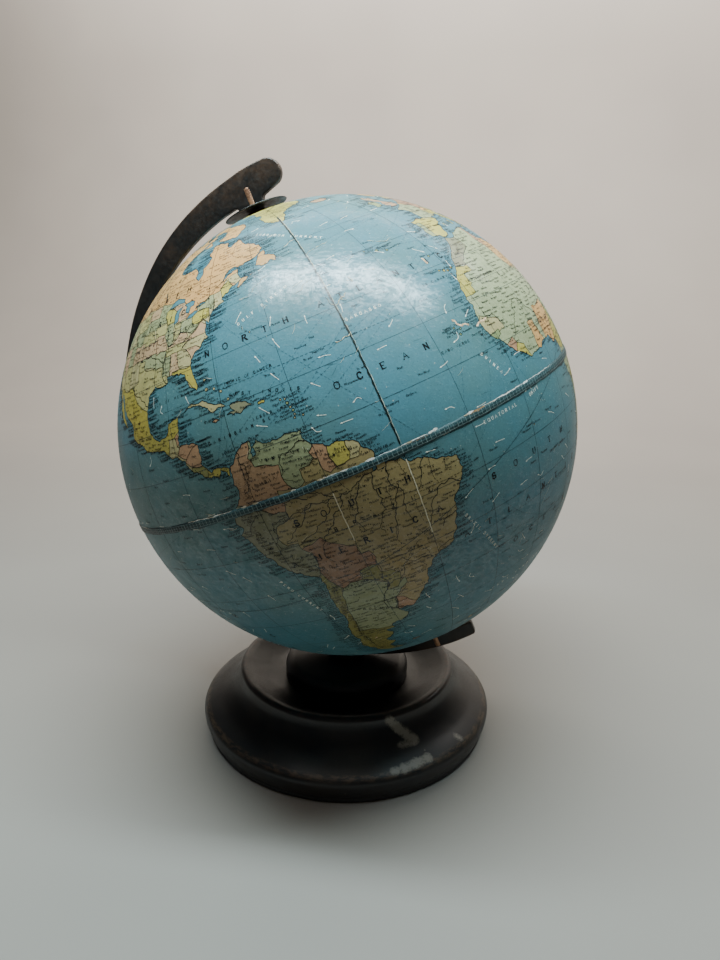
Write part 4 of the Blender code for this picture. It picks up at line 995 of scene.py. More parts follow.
def sea_mask(shapes):
    """A function that tells what colours a place, looked up on a half-degree grid; negative at sea."""
    cell = 0.5
    lons = np.arange(WEST, EAST, cell) + cell / 2
    lats = np.arange(-POLE, POLE, cell) + cell / 2
    grid = np.stack(np.meshgrid(lons, lats), -1)
    owner = painted(grid.reshape(-1, 2), shapes).reshape(grid.shape[:2])

    def at(lon, lat):
        column = int((lon - WEST) % 360 / cell)
        row = int(np.clip((lat + POLE) / cell, 0, len(lats) - 1))
        return owner[row, column]
    return at


def make_graticule():
    """Meridians, parallels, tropics, polar circles, and the ecliptic with its ticks."""
    lines = Ink(LINE_LIFT)
    for lon in range(-180, 180, 15):
        limit = 80 if lon % 30 else 85.5
        lines.line([(lon, y) for y in np.arange(-limit, limit + 0.1, LONGEST_STEP)], 0.24 * MM)
    for lat in range(-80, 81, 10):
        if lat:
            lines.line([(x, lat) for x in np.arange(-180, 180.1, LONGEST_STEP)], 0.22 * MM)
    for circle, dash in ((TROPIC, 1.0), (-TROPIC, 1.0), (POLAR_CIRCLE, 2.0), (-POLAR_CIRCLE, 2.0)):
        for x in np.arange(-180, 180, dash):
            lines.line([(x, circle), (x + dash * 0.62, circle)], 0.22 * MM)

    def ecliptic(lon):
        return TROPIC * math.sin(math.radians(lon))

    lines.line([(x, ecliptic(x)) for x in np.arange(-180, 180.1, LONGEST_STEP)], 0.30 * MM)
    for x in np.arange(-180, 180, 1.0):
        tick = 0.4 if round(x) % 5 else 0.75
        lines.line([(x, ecliptic(x)), (x, ecliptic(x) + tick)], 0.14 * MM)
    lines.finish("map_graticule", ink_material("ink_lines", "#22343A"))


def make_lines(chains):
    """Coastlines, then borders with the dashed province borders and the tapering rivers."""
    coast = Ink(BORDER_LIFT)
    for chain in chains["coast"]:
        coast.line(chain, 0.40 * MM)
    coast.finish("map_coastlines", ink_material("ink_coast", "#16262B"))

    border = Ink(BORDER_LIFT)
    for chain in chains["border"]:
        border.line(chain, 0.34 * MM)
    for seed, text in enumerate(PROVINCES):
        path = roughened(pairs(text), False, 0.9, 0.12, seed + 50)
        for (ax, ay), (bx, by) in zip(path, path[1:]):
            border.line([(ax, ay), (ax + (bx - ax) * 0.7, ay + (by - ay) * 0.7)], 0.28 * MM)
    for seed, text in enumerate(RIVERS):
        path = roughened(pairs(text), False, 0.7, 0.22, seed + 150)
        border.strip(path, np.linspace(0.50 * MM, 0.26 * MM, len(path)))
    border.finish("map_borders", ink_material("ink_borders", "#2B2A22"))


def turn_between(start, end):
    """Degrees of longitude from one meridian to another, the short way."""
    return (end - start + 180) % 360 - 180


def make_routes(land_at):
    """Steamer routes between ports, dashed and dotted, where they cross the sea."""
    routes = (
        "-74,40.4 -40,46.5 -9.5,50", "-74,40.4 -45,42 -10,36.5", "-74,40.4 -60,28 -35.5,-6",
        "-74,40.4 -74.5,20 -80,9.6", "-9.5,38.5 -25,15 -34.5,-8", "-9.5,38.5 -40,25 -66,18.6",
        "-34.5,-8.5 -38,-22.5 -56,-35.5", "-5,48.5 -45,32 -80,10", "-17.8,14.6 -25,-2 -34.5,-8",
        "-17.8,14.6 -10,-5 15,-33.8", "-43,-23.3 -10,-31 18,-34", "-56,-35.5 -20,-38 18,-34.6",
        "-89,29 -83.5,24 -79.5,27 -74.5,36 -50,43 -9.5,50", "-60,11.5 -40,22 -9.8,38",
        "-80,9.6 -65,14 -30,28 -6,36", "-56,-35.5 -64,-50 -70,-57 -80,-45 -76,-33",
        "-5,36 -17,28.5 -19,15 -10,3 8,3", "-79.6,8.5 -90,0 -140,-12 -175,-18",
        "-118,33.5 -157,21 170,30 140,35", "-122.5,37.5 -160,45 160,45 141,36", "18,-34.6 60,-37 115,-35.5",
        "45,12 60,9 79,6", "45,12 55,-5 57,-19", "79,6 95,5 104,1", "104,1 110,10 114,21",
        "79,5.5 95,-15 114,-33", "151.5,-34 165,-37 174.5,-36.8", "151.5,-34 170,-25 -160,0 -123,37",
        "-35,-8 -20,-30 18,-34.4", "-74,40.2 -62,25 -61,13.5", "-61.5,14 -40,30 -9,43",
        "-53,47 -30,52 -10,54",
    )
    chance = random.Random(4)
    ink = Ink(LINE_LIFT)
    for text in routes:
        stops = pairs(text)
        flat = [stops[0]]
        for lon, lat in stops[1:]:
            # the short way round, over the date line too
            flat.append((flat[-1][0] + turn_between(flat[-1][0], lon), lat))
        curve = rounded([np.array(p) for p in flat], 4)
        gap = chance.choice((0.9, 1.1, 0.45))
        walked = 0.0
        for a, b in zip(curve, curve[1:]):
            length = float(np.linalg.norm(b - a))
            while walked < length:
                here = a + (b - a) * walked / length
                ahead = here + (b - a) / length * gap * 0.6
                if land_at(*here) < 0:
                    ink.line([here, ahead], 0.20 * MM)
                walked += gap
            walked -= length
    ink.finish("map_routes", ink_material("ink_routes", "#31505A"))


# Ocean gyres: centre longitude and latitude, and the sense, 1 for clockwise seen from above
GYRES = (
    (-42, 28, 1), (-15, -28, -1), (-150, 28, 1), (-110, -28, -1), (75, -25, -1), (170, 28, 1),
    (-170, -25, -1),
)


def drift(lon, lat):
    """Direction of the current, east and north parts."""
    if 3.5 < lat < 8.5:
        return 1.0, 0.05
    if -8 < lat <= 3.5:
        return -1.0, 0.05
    if lat < -46 or lat > 50:
        return 1.0, 0.35 if lat > 0 else 0.0
    choices = [g for g in GYRES if g[1] * lat > 0]
    x, y, sense = min(choices, key=lambda gyre: turn_between(gyre[0], lon) ** 2)
    return sense * (lat - y), -sense * turn_between(x, lon) * 0.45


def bowed(lon, lat, angle, length, bend, parts):
    """A path of so many parts that starts at a point and bows aside by the bend."""
    return [stepped(lon, lat, angle, length * k / parts, bend * math.sin(math.pi * k / parts))
            for k in range(parts + 1)]


def make_arrows(land_at):
    """White arrows of the ocean currents, with the names of some."""
    ink = Ink(ARROW_LIFT)
    chance = random.Random(12)
    head = 0.42
    for lat in np.arange(-66, 72, 4.9):
        for lon in np.arange(-180, 180, 6.4 / math.cos(math.radians(lat))):
            x, y = lon + chance.uniform(-2.2, 2.2), lat + chance.uniform(-2.0, 2.0)
            length = chance.uniform(1.3, 2.2)
            keep = chance.random() < 0.52
            east, north = drift(x, y)
            angle = math.atan2(north, east) + chance.uniform(-0.3, 0.3)
            bend = chance.uniform(-0.10, 0.10) if chance.random() < 0.85 else chance.uniform(-0.7, 0.7)
            if not keep or land_at(x, y) >= 0 or land_at(*stepped(x, y, angle, length)) >= 0:
                continue
            ink.line(bowed(x, y, angle, length, bend, 6), 0.23 * MM)
            # the head is a short taper
            lean = -bend * 1.6 / length
            tip = [stepped(x, y, angle, length + head * k / 3, lean * head * k / 3) for k in range(4)]
            ink.strip(tip, np.array([0.80, 0.56, 0.30, 0.04]) * MM)
    names = (
        ("EQUATORIAL", -27.1, -2.2, 0.98, 0.0, 1.7), ("DRIFT", -13, -2.0, 0.75, 0.1, 1.6),
        ("SARGASSO", -44.2, 26.7, 1.12, 0.0, 1.5), ("GULF STREAM", -67, 35.0, 1.35, 0.38, 1.5),
        ("GUINEA", -21.3, 9.7, 0.55, -0.95, 1.5), ("BRAZIL CURRENT", -37, -18, 0.5, -0.9, 1.5),
        ("LABRADOR CURRENT", -56, 58.5, 1.2, -0.7, 1.5), ("KURO SIWO", 140, 31, 1.4, 0.5, 1.5),
        ("PERU CURRENT", -79, -17, 0.35, -0.9, 1.5), ("WEST WIND DRIFT", -30, -44, 2.0, 0.0, 1.6),
        ("WEST WIND DRIFT", 60, -46, 2.0, 0.0, 1.6), ("NORTH EQUATORIAL CURRENT", -160, 9.5, 1.4, 0, 1.6),
    )
    for text, lon, lat, spacing, lean, tall in names:
        write(ink, text, lon, lat, spacing, tall * MM, lean, 0.17)
    ink.finish("map_currents", ink_material("ink_white", "#F1EFDD"))


def make_names():
    """The names of oceans, continents and countries."""
    ink = Ink(NAME_LIFT)
    oceans = (
        ("NORTH", -76.4, 31.6, 5.05), ("ATLANTIC", -47.7, 31.9, 4.85), ("OCEAN", -51.5, 15.7, 4.85),
        ("SOUTH", -28.6, -13, 6.2), ("ATLANTIC", -37.8, -22.1, 6.0), ("OCEAN", -24, -31, 6.0),
        ("NORTH", -160, 32, 7), ("PACIFIC", -170, 22, 7), ("OCEAN", -158, 12, 7), ("SOUTH", -130, -25, 7),
        ("PACIFIC", -140, -34, 7), ("OCEAN", -130, -43, 7), ("INDIAN", 65, -18, 6), ("OCEAN", 68, -28, 6),
        ("ARCTIC", 0, 76, 12), ("OCEAN", 80, 79, 14), ("ANTARCTIC", -30, -72, 9), ("PACIFIC", 145, 14, 6),
        ("OCEAN", 150, 4, 6),
    )
    for text, lon, lat, spacing in oceans:
        write(ink, text, lon, lat, spacing, 3.3 * MM, 0.0, 0.23)
    continents = (
        ("SOUTH", -68.9, -5.5, 5.7), ("AMERICA", -73.6, -13.8, 5.25), ("NORTH", -108, 50, 6.0),
        ("AMERICA", -112, 44, 5.5), ("AFRICA", 6, 17, 5.5), ("EUROPE", 14, 52, 5), ("ASIA", 72, 52, 10),
        ("AUSTRALIA", 120, -25.5, 3.6),
    )
    for text, lon, lat, spacing in continents:
        write(ink, text, lon, lat, spacing, 3.2 * MM, 0.0, 0.24)
    small = (
        ("BRAZIL", -62.4, -9.4, 3.95, 0, 2.1), ("VENEZUELA", -70.6, 7.9, 1.3, -0.1, 1.6),
        ("COLOMBIA", -76, 3.5, 0.95, 0.1, 1.6), ("BOLIVIA", -68.5, -16.5, 1.5, -0.2, 1.7),
        ("PARAGUAY", -61.5, -23, 0.8, -0.1, 1.3), ("ARGENTINA", -67, -30, 1.2, -0.5, 1.6),
        ("PERU", -76.5, -9, 1.6, -1.4, 1.7), ("CARIBBEAN SEA", -80.2, 14.4, 1.3, 0.04, 1.5),
        ("GULF OF MEXICO", -95.5, 25.5, 1.05, 0, 1.4), ("WEST INDIES", -72.5, 22, 1.4, -0.4, 1.5),
        ("LESSER ANTILLES", -69, 15.8, 0.75, 0, 1.3), ("MEXICO", -105, 26, 1.5, -1.3, 1.7),
        ("CANADA", -105, 55, 3.2, 0, 2), ("UNITED STATES", -108, 39.5, 2.3, 0, 2),
        ("SAHARA", 0, 23, 3, 0, 2), ("SPAIN", -6, 40, 1.4, 0, 1.6), ("FRANCE", -0.5, 46.5, 1.1, 0, 1.6),
        ("CHINA", 100, 33, 3.2, 0, 2), ("INDIA", 75, 22, 1.8, 0, 1.8), ("SIBERIA", 85, 63, 5, 0, 2),
        ("PERSIA", 51, 32.5, 1.6, 0, 1.6), ("EGYPT", 27, 26.5, 1.4, 0, 1.6), ("CONGO", 19, -2, 1.7, 0, 1.8),
        ("GREENLAND", -46, 71, 1.2, 0.6, 1.7), ("CHILE", -70.8, -24, 0.15, -1.9, 1.3),
        ("ECUADOR", -79.6, -0.6, 0.6, -0.25, 1.2), ("GUIANA", -60, 5.5, 0.75, -0.35, 1.2),
        ("SURINAM", -57, 4.3, 0.55, 0, 1.1), ("BAY OF BENGAL", 84, 15, 1, 0, 1.5),
        ("ARABIA", 43, 23, 1.5, 0, 1.7), ("SUDAN", 27, 12.5, 1.7, 0, 1.7),
        ("IS CANARIAS", -24.5, 27, 0.9, 0, 1.3), ("CABO VERDE", -29.5, 13.2, 0.75, 0, 1.3),
        ("LIBERIA", -10.8, 6.1, 0.5, -0.1, 1.1), ("NIGERIA", 4, 9.5, 1.1, 0, 1.5),
        ("ANGOLA", 15, -12.5, 1.5, 0, 1.6),
    )
    for text, lon, lat, spacing, lean, tall in small:
        write(ink, text, lon, lat, spacing, tall * MM, lean, 0.20)
    for lon in (-70, -10, 50, 110, 170, -130):
        write(ink, "TROPIC OF CANCER", lon - 3.2, 24.1, 0.72, 1.4 * MM, 0, 0.21)
        write(ink, "TROPIC OF CAPRICORN", lon - 4.5, -22.8, 0.72, 1.4 * MM, 0, 0.21)
    ink.finish("map_names", ink_material("ink_names", "#101417"))


# Small letters as straight strokes in a box 0.5 wide with the x-height at 0.6
SMALL_LETTERS = (
    ((0, 0, 0, .6), (0, .57, .42, .57), (.42, .5, .42, 0)), ((0, 0, 0, .6), (0, .57, .34, .5)),
    ((0, .06, 0, .54), (0, .57, .42, .57), (.42, .54, .42, .06), (0, .03, .42, .03)),
    ((0, .06, 0, .54), (0, .57, .4, .57), (0, .3, .4, .3), (0, .03, .4, .03)), ((.1, 0, .1, .6),),
    ((.1, 0, .1, 1),),
    ((.05, .57, .4, .57), (.4, .57, .4, 0), (.02, .03, .4, .03), (.02, .3, .4, .3), (.02, 0, .02, .3)),
    ((.14, 0, .14, .85), (0, .57, .34, .57)), ((0, .6, 0, .05), (0, .03, .42, .03), (.42, 0, .42, .6)),
    ((.02, .57, .36, .57), (.04, .56, .34, .06), (.02, .03, .36, .03)),
    ((0, -.3, 0, .6), (0, .57, .4, .57), (.4, .5, .4, .1)),
)
SMALL_CAPITAL = ((0, 0, 0, 1), (0, .95, .5, .95), (.5, .95, .5, .4), (0, .5, .5, .5))


def scribble(ink, chance, lon, lat, length, tall, lean=0.0):
    """A word of print too fine to make out, from a starting point; its length and height in degrees."""
    x = 0.0
    size = tall * 1.05
    while x < length:
        strokes = chance.choice(SMALL_LETTERS)
        if x == 0.0:
            strokes = SMALL_CAPITAL
        for ax, ay, bx, by in strokes:
            start = stepped(lon, lat, lean, x + ax * size, ay * size)
            end = stepped(lon, lat, lean, x + bx * size, by * size)
            steep = abs(by - ay) > 0.2
            ink.dash(start, end, (0.19 if steep else 0.13) * MM)
        x += size * (0.3 if len(strokes) == 1 else 0.62)
        if chance.random() < 0.07:
            x += size * 0.5


def make_fine_print(shapes, land_at):
    """The small names: out to sea from every coast, over the land, and a few on the open ocean."""
    ink = Ink(PRINT_LIFT)
    chance = random.Random(31)
    taken = set()

    def free(lon, lat, length):
        """Takes the room for a word and says True, unless another word has some of it."""
        cells = {(round((lon + k * 0.4) / 0.8), round(lat / 0.60)) for k in range(int(length / 0.4) + 1)}
        if cells & taken:
            return False
        taken.update(cells)
        return True

    for outline, _, kind in shapes:
        if kind != "land" or len(outline) < 4:
            continue
        for lon, lat in outline:
            if abs(lat) > 72:
                continue
            squeeze = math.cos(math.radians(lat))
            length = chance.uniform(1.2, 3.9) / squeeze
            for start in (lon + 0.3, lon - 0.3 - length):
                ends = [land_at(start + length * k / 4, lat + 0.2) for k in range(5)]
                if max(ends) < 0 and free(start, lat, length):
                    scribble(ink, chance, start, lat, length * squeeze, 0.46, chance.uniform(0, 0.12))
                    break
    for lat in np.arange(-56, 73, 0.92):
        for lon in np.arange(-180, 180, 2.2 / math.cos(math.radians(lat))):
            x, y = lon + chance.uniform(-0.9, 0.9), lat + chance.uniform(-0.2, 0.2)
            length = chance.uniform(0.9, 2.6)
            keep = chance.random()
            stretch = length / math.cos(math.radians(y))
            owners = [land_at(x + stretch * k / 3, y + 0.2) for k in range(4)]
            dense = 0.70 if min(owners) >= 0 else 0.04 if max(owners) < 0 else 0.0
            if keep < dense and free(x, y, stretch):
                scribble(ink, chance, x, y, length, 0.43)
    ink.finish("map_fine_print", ink_material("ink_print", "#131A1E"))
    dots = Ink(ARROW_LIFT)
    for lat in np.arange(-52, 70, 2.0):
        for lon in np.arange(-180, 180, 2.6 / math.cos(math.radians(lat))):
            x, y = lon + chance.uniform(-1.2, 1.2), lat + chance.uniform(-1, 1)
            if land_at(x, y) >= 0 and chance.random() < 0.6:
                size = 0.2 / math.cos(math.radians(y))
                dots.dash((x, y), (x + size, y), 0.5 * MM)
    dots.finish("map_towns", ink_material("ink_towns", "#181612"))


def make_relief():
    """Hachures along the great ranges: short strokes either side of the ridge."""
    ranges = (
        "-76,1 -78.5,-3 -77.5,-8 -73,-13.5 -69.5,-17 -68.5,-22 -70,-28 -70.2,-34 -71.8,-40 -73,-48",
        "-76,2 -75,6 -73,8.5 -70.5,10", "-76.3,2 -76.8,6", "-63,4.5 -60.5,4.8",
        "-43.5,-22.3 -46,-20 -47,-16.5", "-50,-26 -48.8,-24.8", "-84,34.8 -80,38 -75,41.5 -71.5,44.3",
        "-125,55 -118,51 -113,46 -109,42 -106,37", "-121,40 -118,36", "-105,24 -101,19.5",
        "-92,15.5 -88,14.3", "-8,31 -2,33.5 5,35.8", "5.5,44.5 9,46.5 14,47", "-1,43 2,42.5",
        "70,36 78,35 82,30 90,28 97,29", "60,52 59,60 66,67", "75,40 85,42 95,43", "36,7 38,12",
        "29,-29 31,-26", "146,-37 150,-31 147,-20",
    )
    ink = Ink(PRINT_LIFT)
    chance = random.Random(77)
    for seed, text in enumerate(ranges):
        for x, y in roughened(pairs(text), False, 0.32, 0.2, seed + 300):
            for side in (-1, 1):
                reach = chance.uniform(0.35, 0.8)
                slope = chance.uniform(-0.5, 0.5)
                ink.line([(x + side * 0.12, y), (x + side * reach, y + slope * reach)], 0.13 * MM)
    ink.finish("map_relief", ink_material("ink_relief", "#3E3322"))


def make_seams():
    """Cracked varnish along the gore seam at 45 degrees west, and the cracks that run out of it."""
    chance = random.Random(5)
    dark, pale = Ink(CRACK_LIFT), Ink(CRACK_EDGE_LIFT)

    def crack(path, width, gap, glint):
        """A dark crack with a pale line a gap beside it: a painted highlight along its raised edge."""
        widths = [width * chance.uniform(0.6, 1.25) for _ in path]
        widths[0] = widths[-1] = 0.05 * MM
        dark.strip(path, widths)
        # the pale ribbon beside the crack is a painted highlight of its raised edge, not a colour of the
        # print
        shifted = [(x + gap / math.cos(math.radians(y)), y + gap * 0.4) for x, y in path]
        lit = [glint * chance.uniform(0.1, 1.2) for _ in path]
        lit[0] = lit[-1] = 0.02 * MM
        pale.strip(shifted, lit)

    main = [(-45 + chance.uniform(-0.06, 0.06), y) for y in np.arange(0.8, 64, 0.7)]
    crack(main, 0.95 * MM, 0.25, 0.20 * MM)
    branches = (
        ("-45,30.2 -43.4,31.2 -42.3,31.3 -41.5,32.2", 0.42), ("-43.4,31.2 -42.8,30.6 -42,30.5", 0.3),
        ("-45,23.7 -46.6,23.5 -48.6,23.4", 0.40), ("-45,50.4 -48,50 -50,49.3", 0.3),
        ("-45,30.2 -45.8,31.6 -46,33", 0.26), ("-39.8,34.6 -38.6,33.7 -38.9,35.3", 0.34),
        ("-45,44.5 -41,45.6 -37,46", 0.2), ("-66,40.4 -62,41 -57,43.6", 0.22),
        ("-52,36 -49.5,37.4 -46.5,38.2", 0.2), ("-66.5,33.2 -66.4,34.4", 0.4),
        ("-28,42 -24,40.2 -21.5,40.4", 0.22), ("-57,-24 -53,-22.6 -48,-20.4", 0.24),
    )
    for seed, (text, width) in enumerate(branches):
        path = roughened(pairs(text), False, 0.5, 0.2, seed + 700)
        crack(path, width * MM, 0.12, width * 0.9 * MM)
    # fine hairline scratches through the varnish
    hairline = np.array([0.03, 0.11, 0.13, 0.10, 0.02]) * MM
    for _ in range(420):
        lon, lat = chance.uniform(-180, 180), chance.uniform(-55, 70)
        angle, length = chance.uniform(-0.5, 1.1), chance.uniform(0.6, 3.4)
        path = bowed(lon, lat, angle, length, chance.uniform(-0.25, 0.25), 4)
        ink = pale if chance.random() < 0.6 else dark
        ink.strip(path, hairline * chance.uniform(0.7, 1.3))
    # every seam shows as a fine crease; south of the equator the print is worn pale along two meridians
    for seam in range(round(WEST), 180, GORE_WIDTH):
        dark.strip([(seam + chance.uniform(-0.03, 0.03), y) for y in np.arange(-84, 84, 1.0)], 0.16 * MM)
    for lon, top, bottom in ((-45, -1.5, -18), (-60, -1.8, -13)):
        worn = [(lon + chance.uniform(-0.05, 0.05), y) for y in np.arange(bottom, top, 0.7)]
        pale.strip(worn, 0.55 * MM)
    dark.finish("map_cracks", ink_material("crack_dark", "#15211F"))
    # the pale pieces: painted highlights beside the cracks, and pale wear in the hairline scratches and
    # along two meridians
    pale.finish("map_crack_glints_and_wear",
                grained("crack_pale_glint_and_wear", (90, 4), None, ("#EAE3C8", "#BCA97C"), (900, 3), 0.2, Roughness=0.8))
    make_flakes(chance)


def make_flakes(chance):
    """Flakes torn off the print, which bare the paper."""
    torn = Ink(FLAKE_LIFT)
    flakes = (
        ("-23.7,18.3 -23.1,17.1 -22.2,16.4 -20.4,16.0", 1.3),
        ("-18.9,15.1 -17.6,15.5 -16.4,15.4 -15.0,15.9", 1.2), ("-19.5,32.9 -19.2,32.0 -18.9,31.1", 1.6),
        ("-70,-43.5 -69,-42.8", 0.9), ("142,9 144.5,10.2", 1.2),
    )
    for seed, (text, width) in enumerate(flakes):
        path = roughened(pairs(text), False, 0.3, 0.2, seed + 900)
        widths = np.array([width * chance.uniform(0.35, 1.0) for _ in path])
        widths[0] = widths[-1] = 0.1
        torn.strip(path, widths * MM)
    torn.finish("map_torn_flakes", grained("bared_paper", (420, 5), (0.4, 0.65), ("#E3C29C", "#B98E66"),
                                           (1200, 4), 0.2, Roughness=0.85))


# Where the tape's north edge has torn: start and end longitude, width in mm, and how it looks
TEARS = (
    (-93.4, -80.5, 0.50, "white"), (-78.3, -77.0, 0.95, "white"), (-75.6, -74.3, 0.95, "white"),
    (-67.2, -66.2, 0.60, "white"), (-61.8, -60.0, 1.10, "white"), (-60.0, -57.2, 0.35, "white"),
    (-57.2, -55.6, 0.85, "white"), (-52.2, -50.2, 1.15, "white"), (-49.4, -45.2, 0.35, "white"),
    (-45.2, -39.4, 0.60, "white"), (-44.0, -39.0, 0.55, "brown"), (-39.2, -37.2, 1.30, "white"),
    (-31.2, -28.8, 1.25, "white"), (-29.8, -26.0, 1.20, "brown"),
    (-26.6, -14.6, 0.62, "white"), (-14.4, -12.6, 1.25, "white"), (-12.4, -2.0, 0.34, "white"),
    (38, 47, 0.8, "white"), (71, 74, 1.1, "brown"), (74, 90, 0.5, "white"), (118, 131, 0.7, "white"),
    (158, 166, 0.9, "brown"), (-150, -139, 0.8, "white"), (-120, -112, 0.4, "white"),
)


def make_tape():
    """The varnished strip that hides the joint at the equator, torn where it has lifted."""
    nodes = Nodes("equator_tape")
    colour = nodes.mix(nodes.span(nodes.noise(14, 3), 0.38, 0.62), "#2A4346", "#17272A")
    fibres = nodes.noise(500, 4)
    colour = nodes.mix(nodes.product(nodes.span(fibres, 0.5, 0.7), 0.3), colour, "#5F7C7C")
    nodes.set(Base_Color=colour, Roughness=nodes.span(fibres, 0.3, 0.7, 0.36, 0.6), Specular_IOR_Level=0.25)
    nodes.bump(fibres, 0.1 * MM)
    chance = random.Random(8)
    # latitudes across the band, and how far it lifts off the paper at each in mm
    rows = (-0.80, -0.72, 0.0, 0.72, 0.80)
    lifts = (0.10, 0.42, 0.46, 0.42, 0.10)
    steps = 720
    edge = [0.0, 0.0]
    vertices = []
    for i in range(steps):
        for side in (0, 1):
            edge[side] = edge[side] * 0.8 + chance.uniform(-0.05, 0.05)
        lon = 360 * i / steps
        for y, lift in zip(rows, lifts):
            lat = y + edge[y >= 0] * abs(y) * 2.0
            vertices.append(on_ball([(lon, lat)], GLOBE_RADIUS + lift * MM)[0])
    faces = []
    for i in range(steps):
        for row in range(len(rows) - 1):
            a, b = i * len(rows) + row, (i + 1) % steps * len(rows) + row
            faces.append((a, b, b + 1, a + 1))
    tape = sheet_object("tape_band", vertices, faces, nodes.material, "globe")
    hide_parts("equator_tape")

    scale = Ink(TAPE_SCALE_LIFT)
    for x in range(360):
        tall, thick = (0.52, 0.24) if x % 5 else (0.66, 0.36)
        scale.dash((x, -tall), (x, tall), thick * MM)
    for y in (-0.54, 0.0, 0.54):
        scale.line([(x, y) for x in np.arange(0, 360.1, LONGEST_STEP)], (0.14 if y else 0.09) * MM)
    scale.finish("tape_scale", ink_material("ink_scale", "#7C928F"), slot="tape")

    torn = grained("torn_paper", (260, 5), (0.45, 0.66), ("#FBF9F1", "#C9B692"), (1500, 4), 0.3,
                   Roughness=0.8)
    board = grained("torn_board", (420, 5), (0.4, 0.62), ("#B98A56", "#54341F"), (1300, 4), 0.4,
                    Roughness=0.95)
    layers = {"white": Ink(TORN_PAPER_LIFT), "brown": Ink(TORN_BOARD_LIFT)}
    for start, end, width, look in TEARS:
        count = max(5, round((end - start) / 0.28))
        wander = 0.0
        path, widths = [], []
        for k in range(count):
            wander = wander * 0.7 + chance.uniform(-0.07, 0.07)
            lat = (0.80 if look == "white" else 0.60) + wander
            path.append((start + (end - start) * k / (count - 1), lat))
            taper = math.sin(math.pi * (k + 0.3) / (count - 0.4)) ** 0.5
            widths.append(width * MM * chance.uniform(0.45, 1.35) * taper)
        layers[look].strip(path, widths)
    layers["white"].finish("tape_torn_edges", torn, slot="tape")
    layers["brown"].finish("tape_torn_board", board, slot="tape")


# ---------------------------------------------------------------- base


def arc(centre, radius, start, end, count):
    """Points on an arc from one angle to another, in degrees, both ends included."""
    angles = [math.radians(start + (end - start) * i / (count - 1)) for i in range(count)]
    return [(centre[0] + radius * math.cos(a), centre[1] + radius * math.sin(a)) for a in angles]


def smooth_through(points, per_span=6):
    """A curve through the points, by Catmull-Rom."""
    result = []
    for i in range(len(points) - 1):
        p0, p1 = Vector(points[max(i - 1, 0)]), Vector(points[i])
        p2, p3 = Vector(points[i + 1]), Vector(points[min(i + 2, len(points) - 1)])
        for k in range(per_span):
            t = k / per_span
            spot = 0.5 * (2 * p1 + (p2 - p0) * t + (2 * p0 - 5 * p1 + 4 * p2 - p3) * t ** 2
                          + (3 * p1 - p0 - 3 * p2 + p3) * t ** 3)
            result.append((spot.x, spot.y))
    result.append(tuple(points[-1]))
    return result


def turned(name, outline, material, body, steps, matrix=Matrix.Identity(4), closed=False):
    """A turned piece from its (radius, height) outline in millimetres."""
    count = len(outline)
    vertices, faces = [], []
    for i in range(steps):
        angle = math.tau * i / steps
        vertices.extend(matrix @ Vector((r * MM * math.cos(angle), r * MM * math.sin(angle), z * MM))
                        for r, z in outline)
    for i in range(steps):
        for k in range(count if closed else count - 1):
            a, b = i * count + k, (i + 1) % steps * count + k
            after = (k + 1) % count - k
            faces.append((a, a + after, b + after, b))
    piece = sheet_object(name, vertices, faces, material, body)
    piece.data.set_sharp_from_angle(angle=math.radians(38))
    return piece


# Rubbed streaks on the base: one end and the other in millimetres, reach, strength
SCUFFS = (
    ((41.4, -68.0, 41.7), (47.5, -67.6, 36.0), 7.0, 0.85),
    ((47.5, -67.6, 36.0), (58.5, -67.4, 28.7), 7.5, 0.95),
    ((50.5, -74.5, 28.1), (58.0, -69.5, 27.9), 6.0, 0.75),
    ((48.1, -91.1, 19.9), (50.0, -90.1, 20.1), 6.0, 0.85),
    ((54.2, -87.3, 20.1), (68.7, -74.8, 20.8), 7.0, 0.95),
    ((86.0, -49.8, 22.3), (88.8, -49.4, 20.8), 6.0, 0.70),
    ((-72.0, 58.0, 25.7), (-68.0, 62.0, 25.7), 9.0, 0.80),
)


def enamel(name, ring_wear):
    """Black satin enamel, rubbed through to brown on the ridges, scuffed pale at the front.

    Each ring of wear lies between two radii and above a height, in millimetres, and shows a colour.
    """
    nodes = Nodes(name)
    dirt = nodes.noise(30, 6, 0.65)
    scratch = nodes.noise(160, 5, 0.7, (1.0, 1.0, 5.0))
    dust = nodes.noise(700, 4, 0.7)
    colour = nodes.mix(nodes.span(dirt, 0.4, 0.7), "#16171A", "#241F1C")
    radius, height = nodes.from_axis(), nodes.height()
    bare = nodes.product(nodes.span(scratch, 0.40, 0.62), 0.55)
    for low, high, floor, undercoat in ring_wear:
        middle, half = (low + high) / 2 * MM, (high - low) / 2 * MM
        off = nodes.maths("ABSOLUTE", nodes.maths("SUBTRACT", radius, middle), 0.0)
        band = nodes.product(nodes.span(off, half * 0.2, half, 1.0, 0.0), bare)
        band = nodes.product(band, nodes.span(height, (floor - 1.0) * MM, (floor + 1.0) * MM))
        colour = nodes.mix(band, colour, undercoat)
    ragged = nodes.noise(620, 5, 0.75)
    for start, end, reach, strength in SCUFFS:
        away = nodes.from_streak(Vector(start) * MM, Vector(end) * MM)
        near = nodes.span(away, 0.0, reach * MM, strength, 0.0)
        worn = nodes.span(nodes.product(near, ragged), 0.15, 0.42)
        colour = nodes.mix(worn, colour, "#8F887B")
    chips = nodes.product(nodes.speckle(95, 0.02, 0.09), nodes.span(nodes.noise(22, 3), 0.52, 0.64))
    colour = nodes.mix(chips, colour, "#6C665B")
    colour = nodes.mix(nodes.span(dust, 0.5, 0.8, 0.0, 0.07), colour, "#8A8478")
    rough = nodes.total(nodes.span(dirt, 0.35, 0.7, 0.32, 0.44), nodes.span(dust, 0.4, 0.8, 0.0, 0.16))
    nodes.set(Base_Color=colour, Roughness=rough, Specular_IOR_Level=0.62)
    nodes.bump(nodes.total(nodes.noise(55, 3), nodes.product(scratch, 0.25)), 0.22 * MM, 0.5)
    return nodes.material


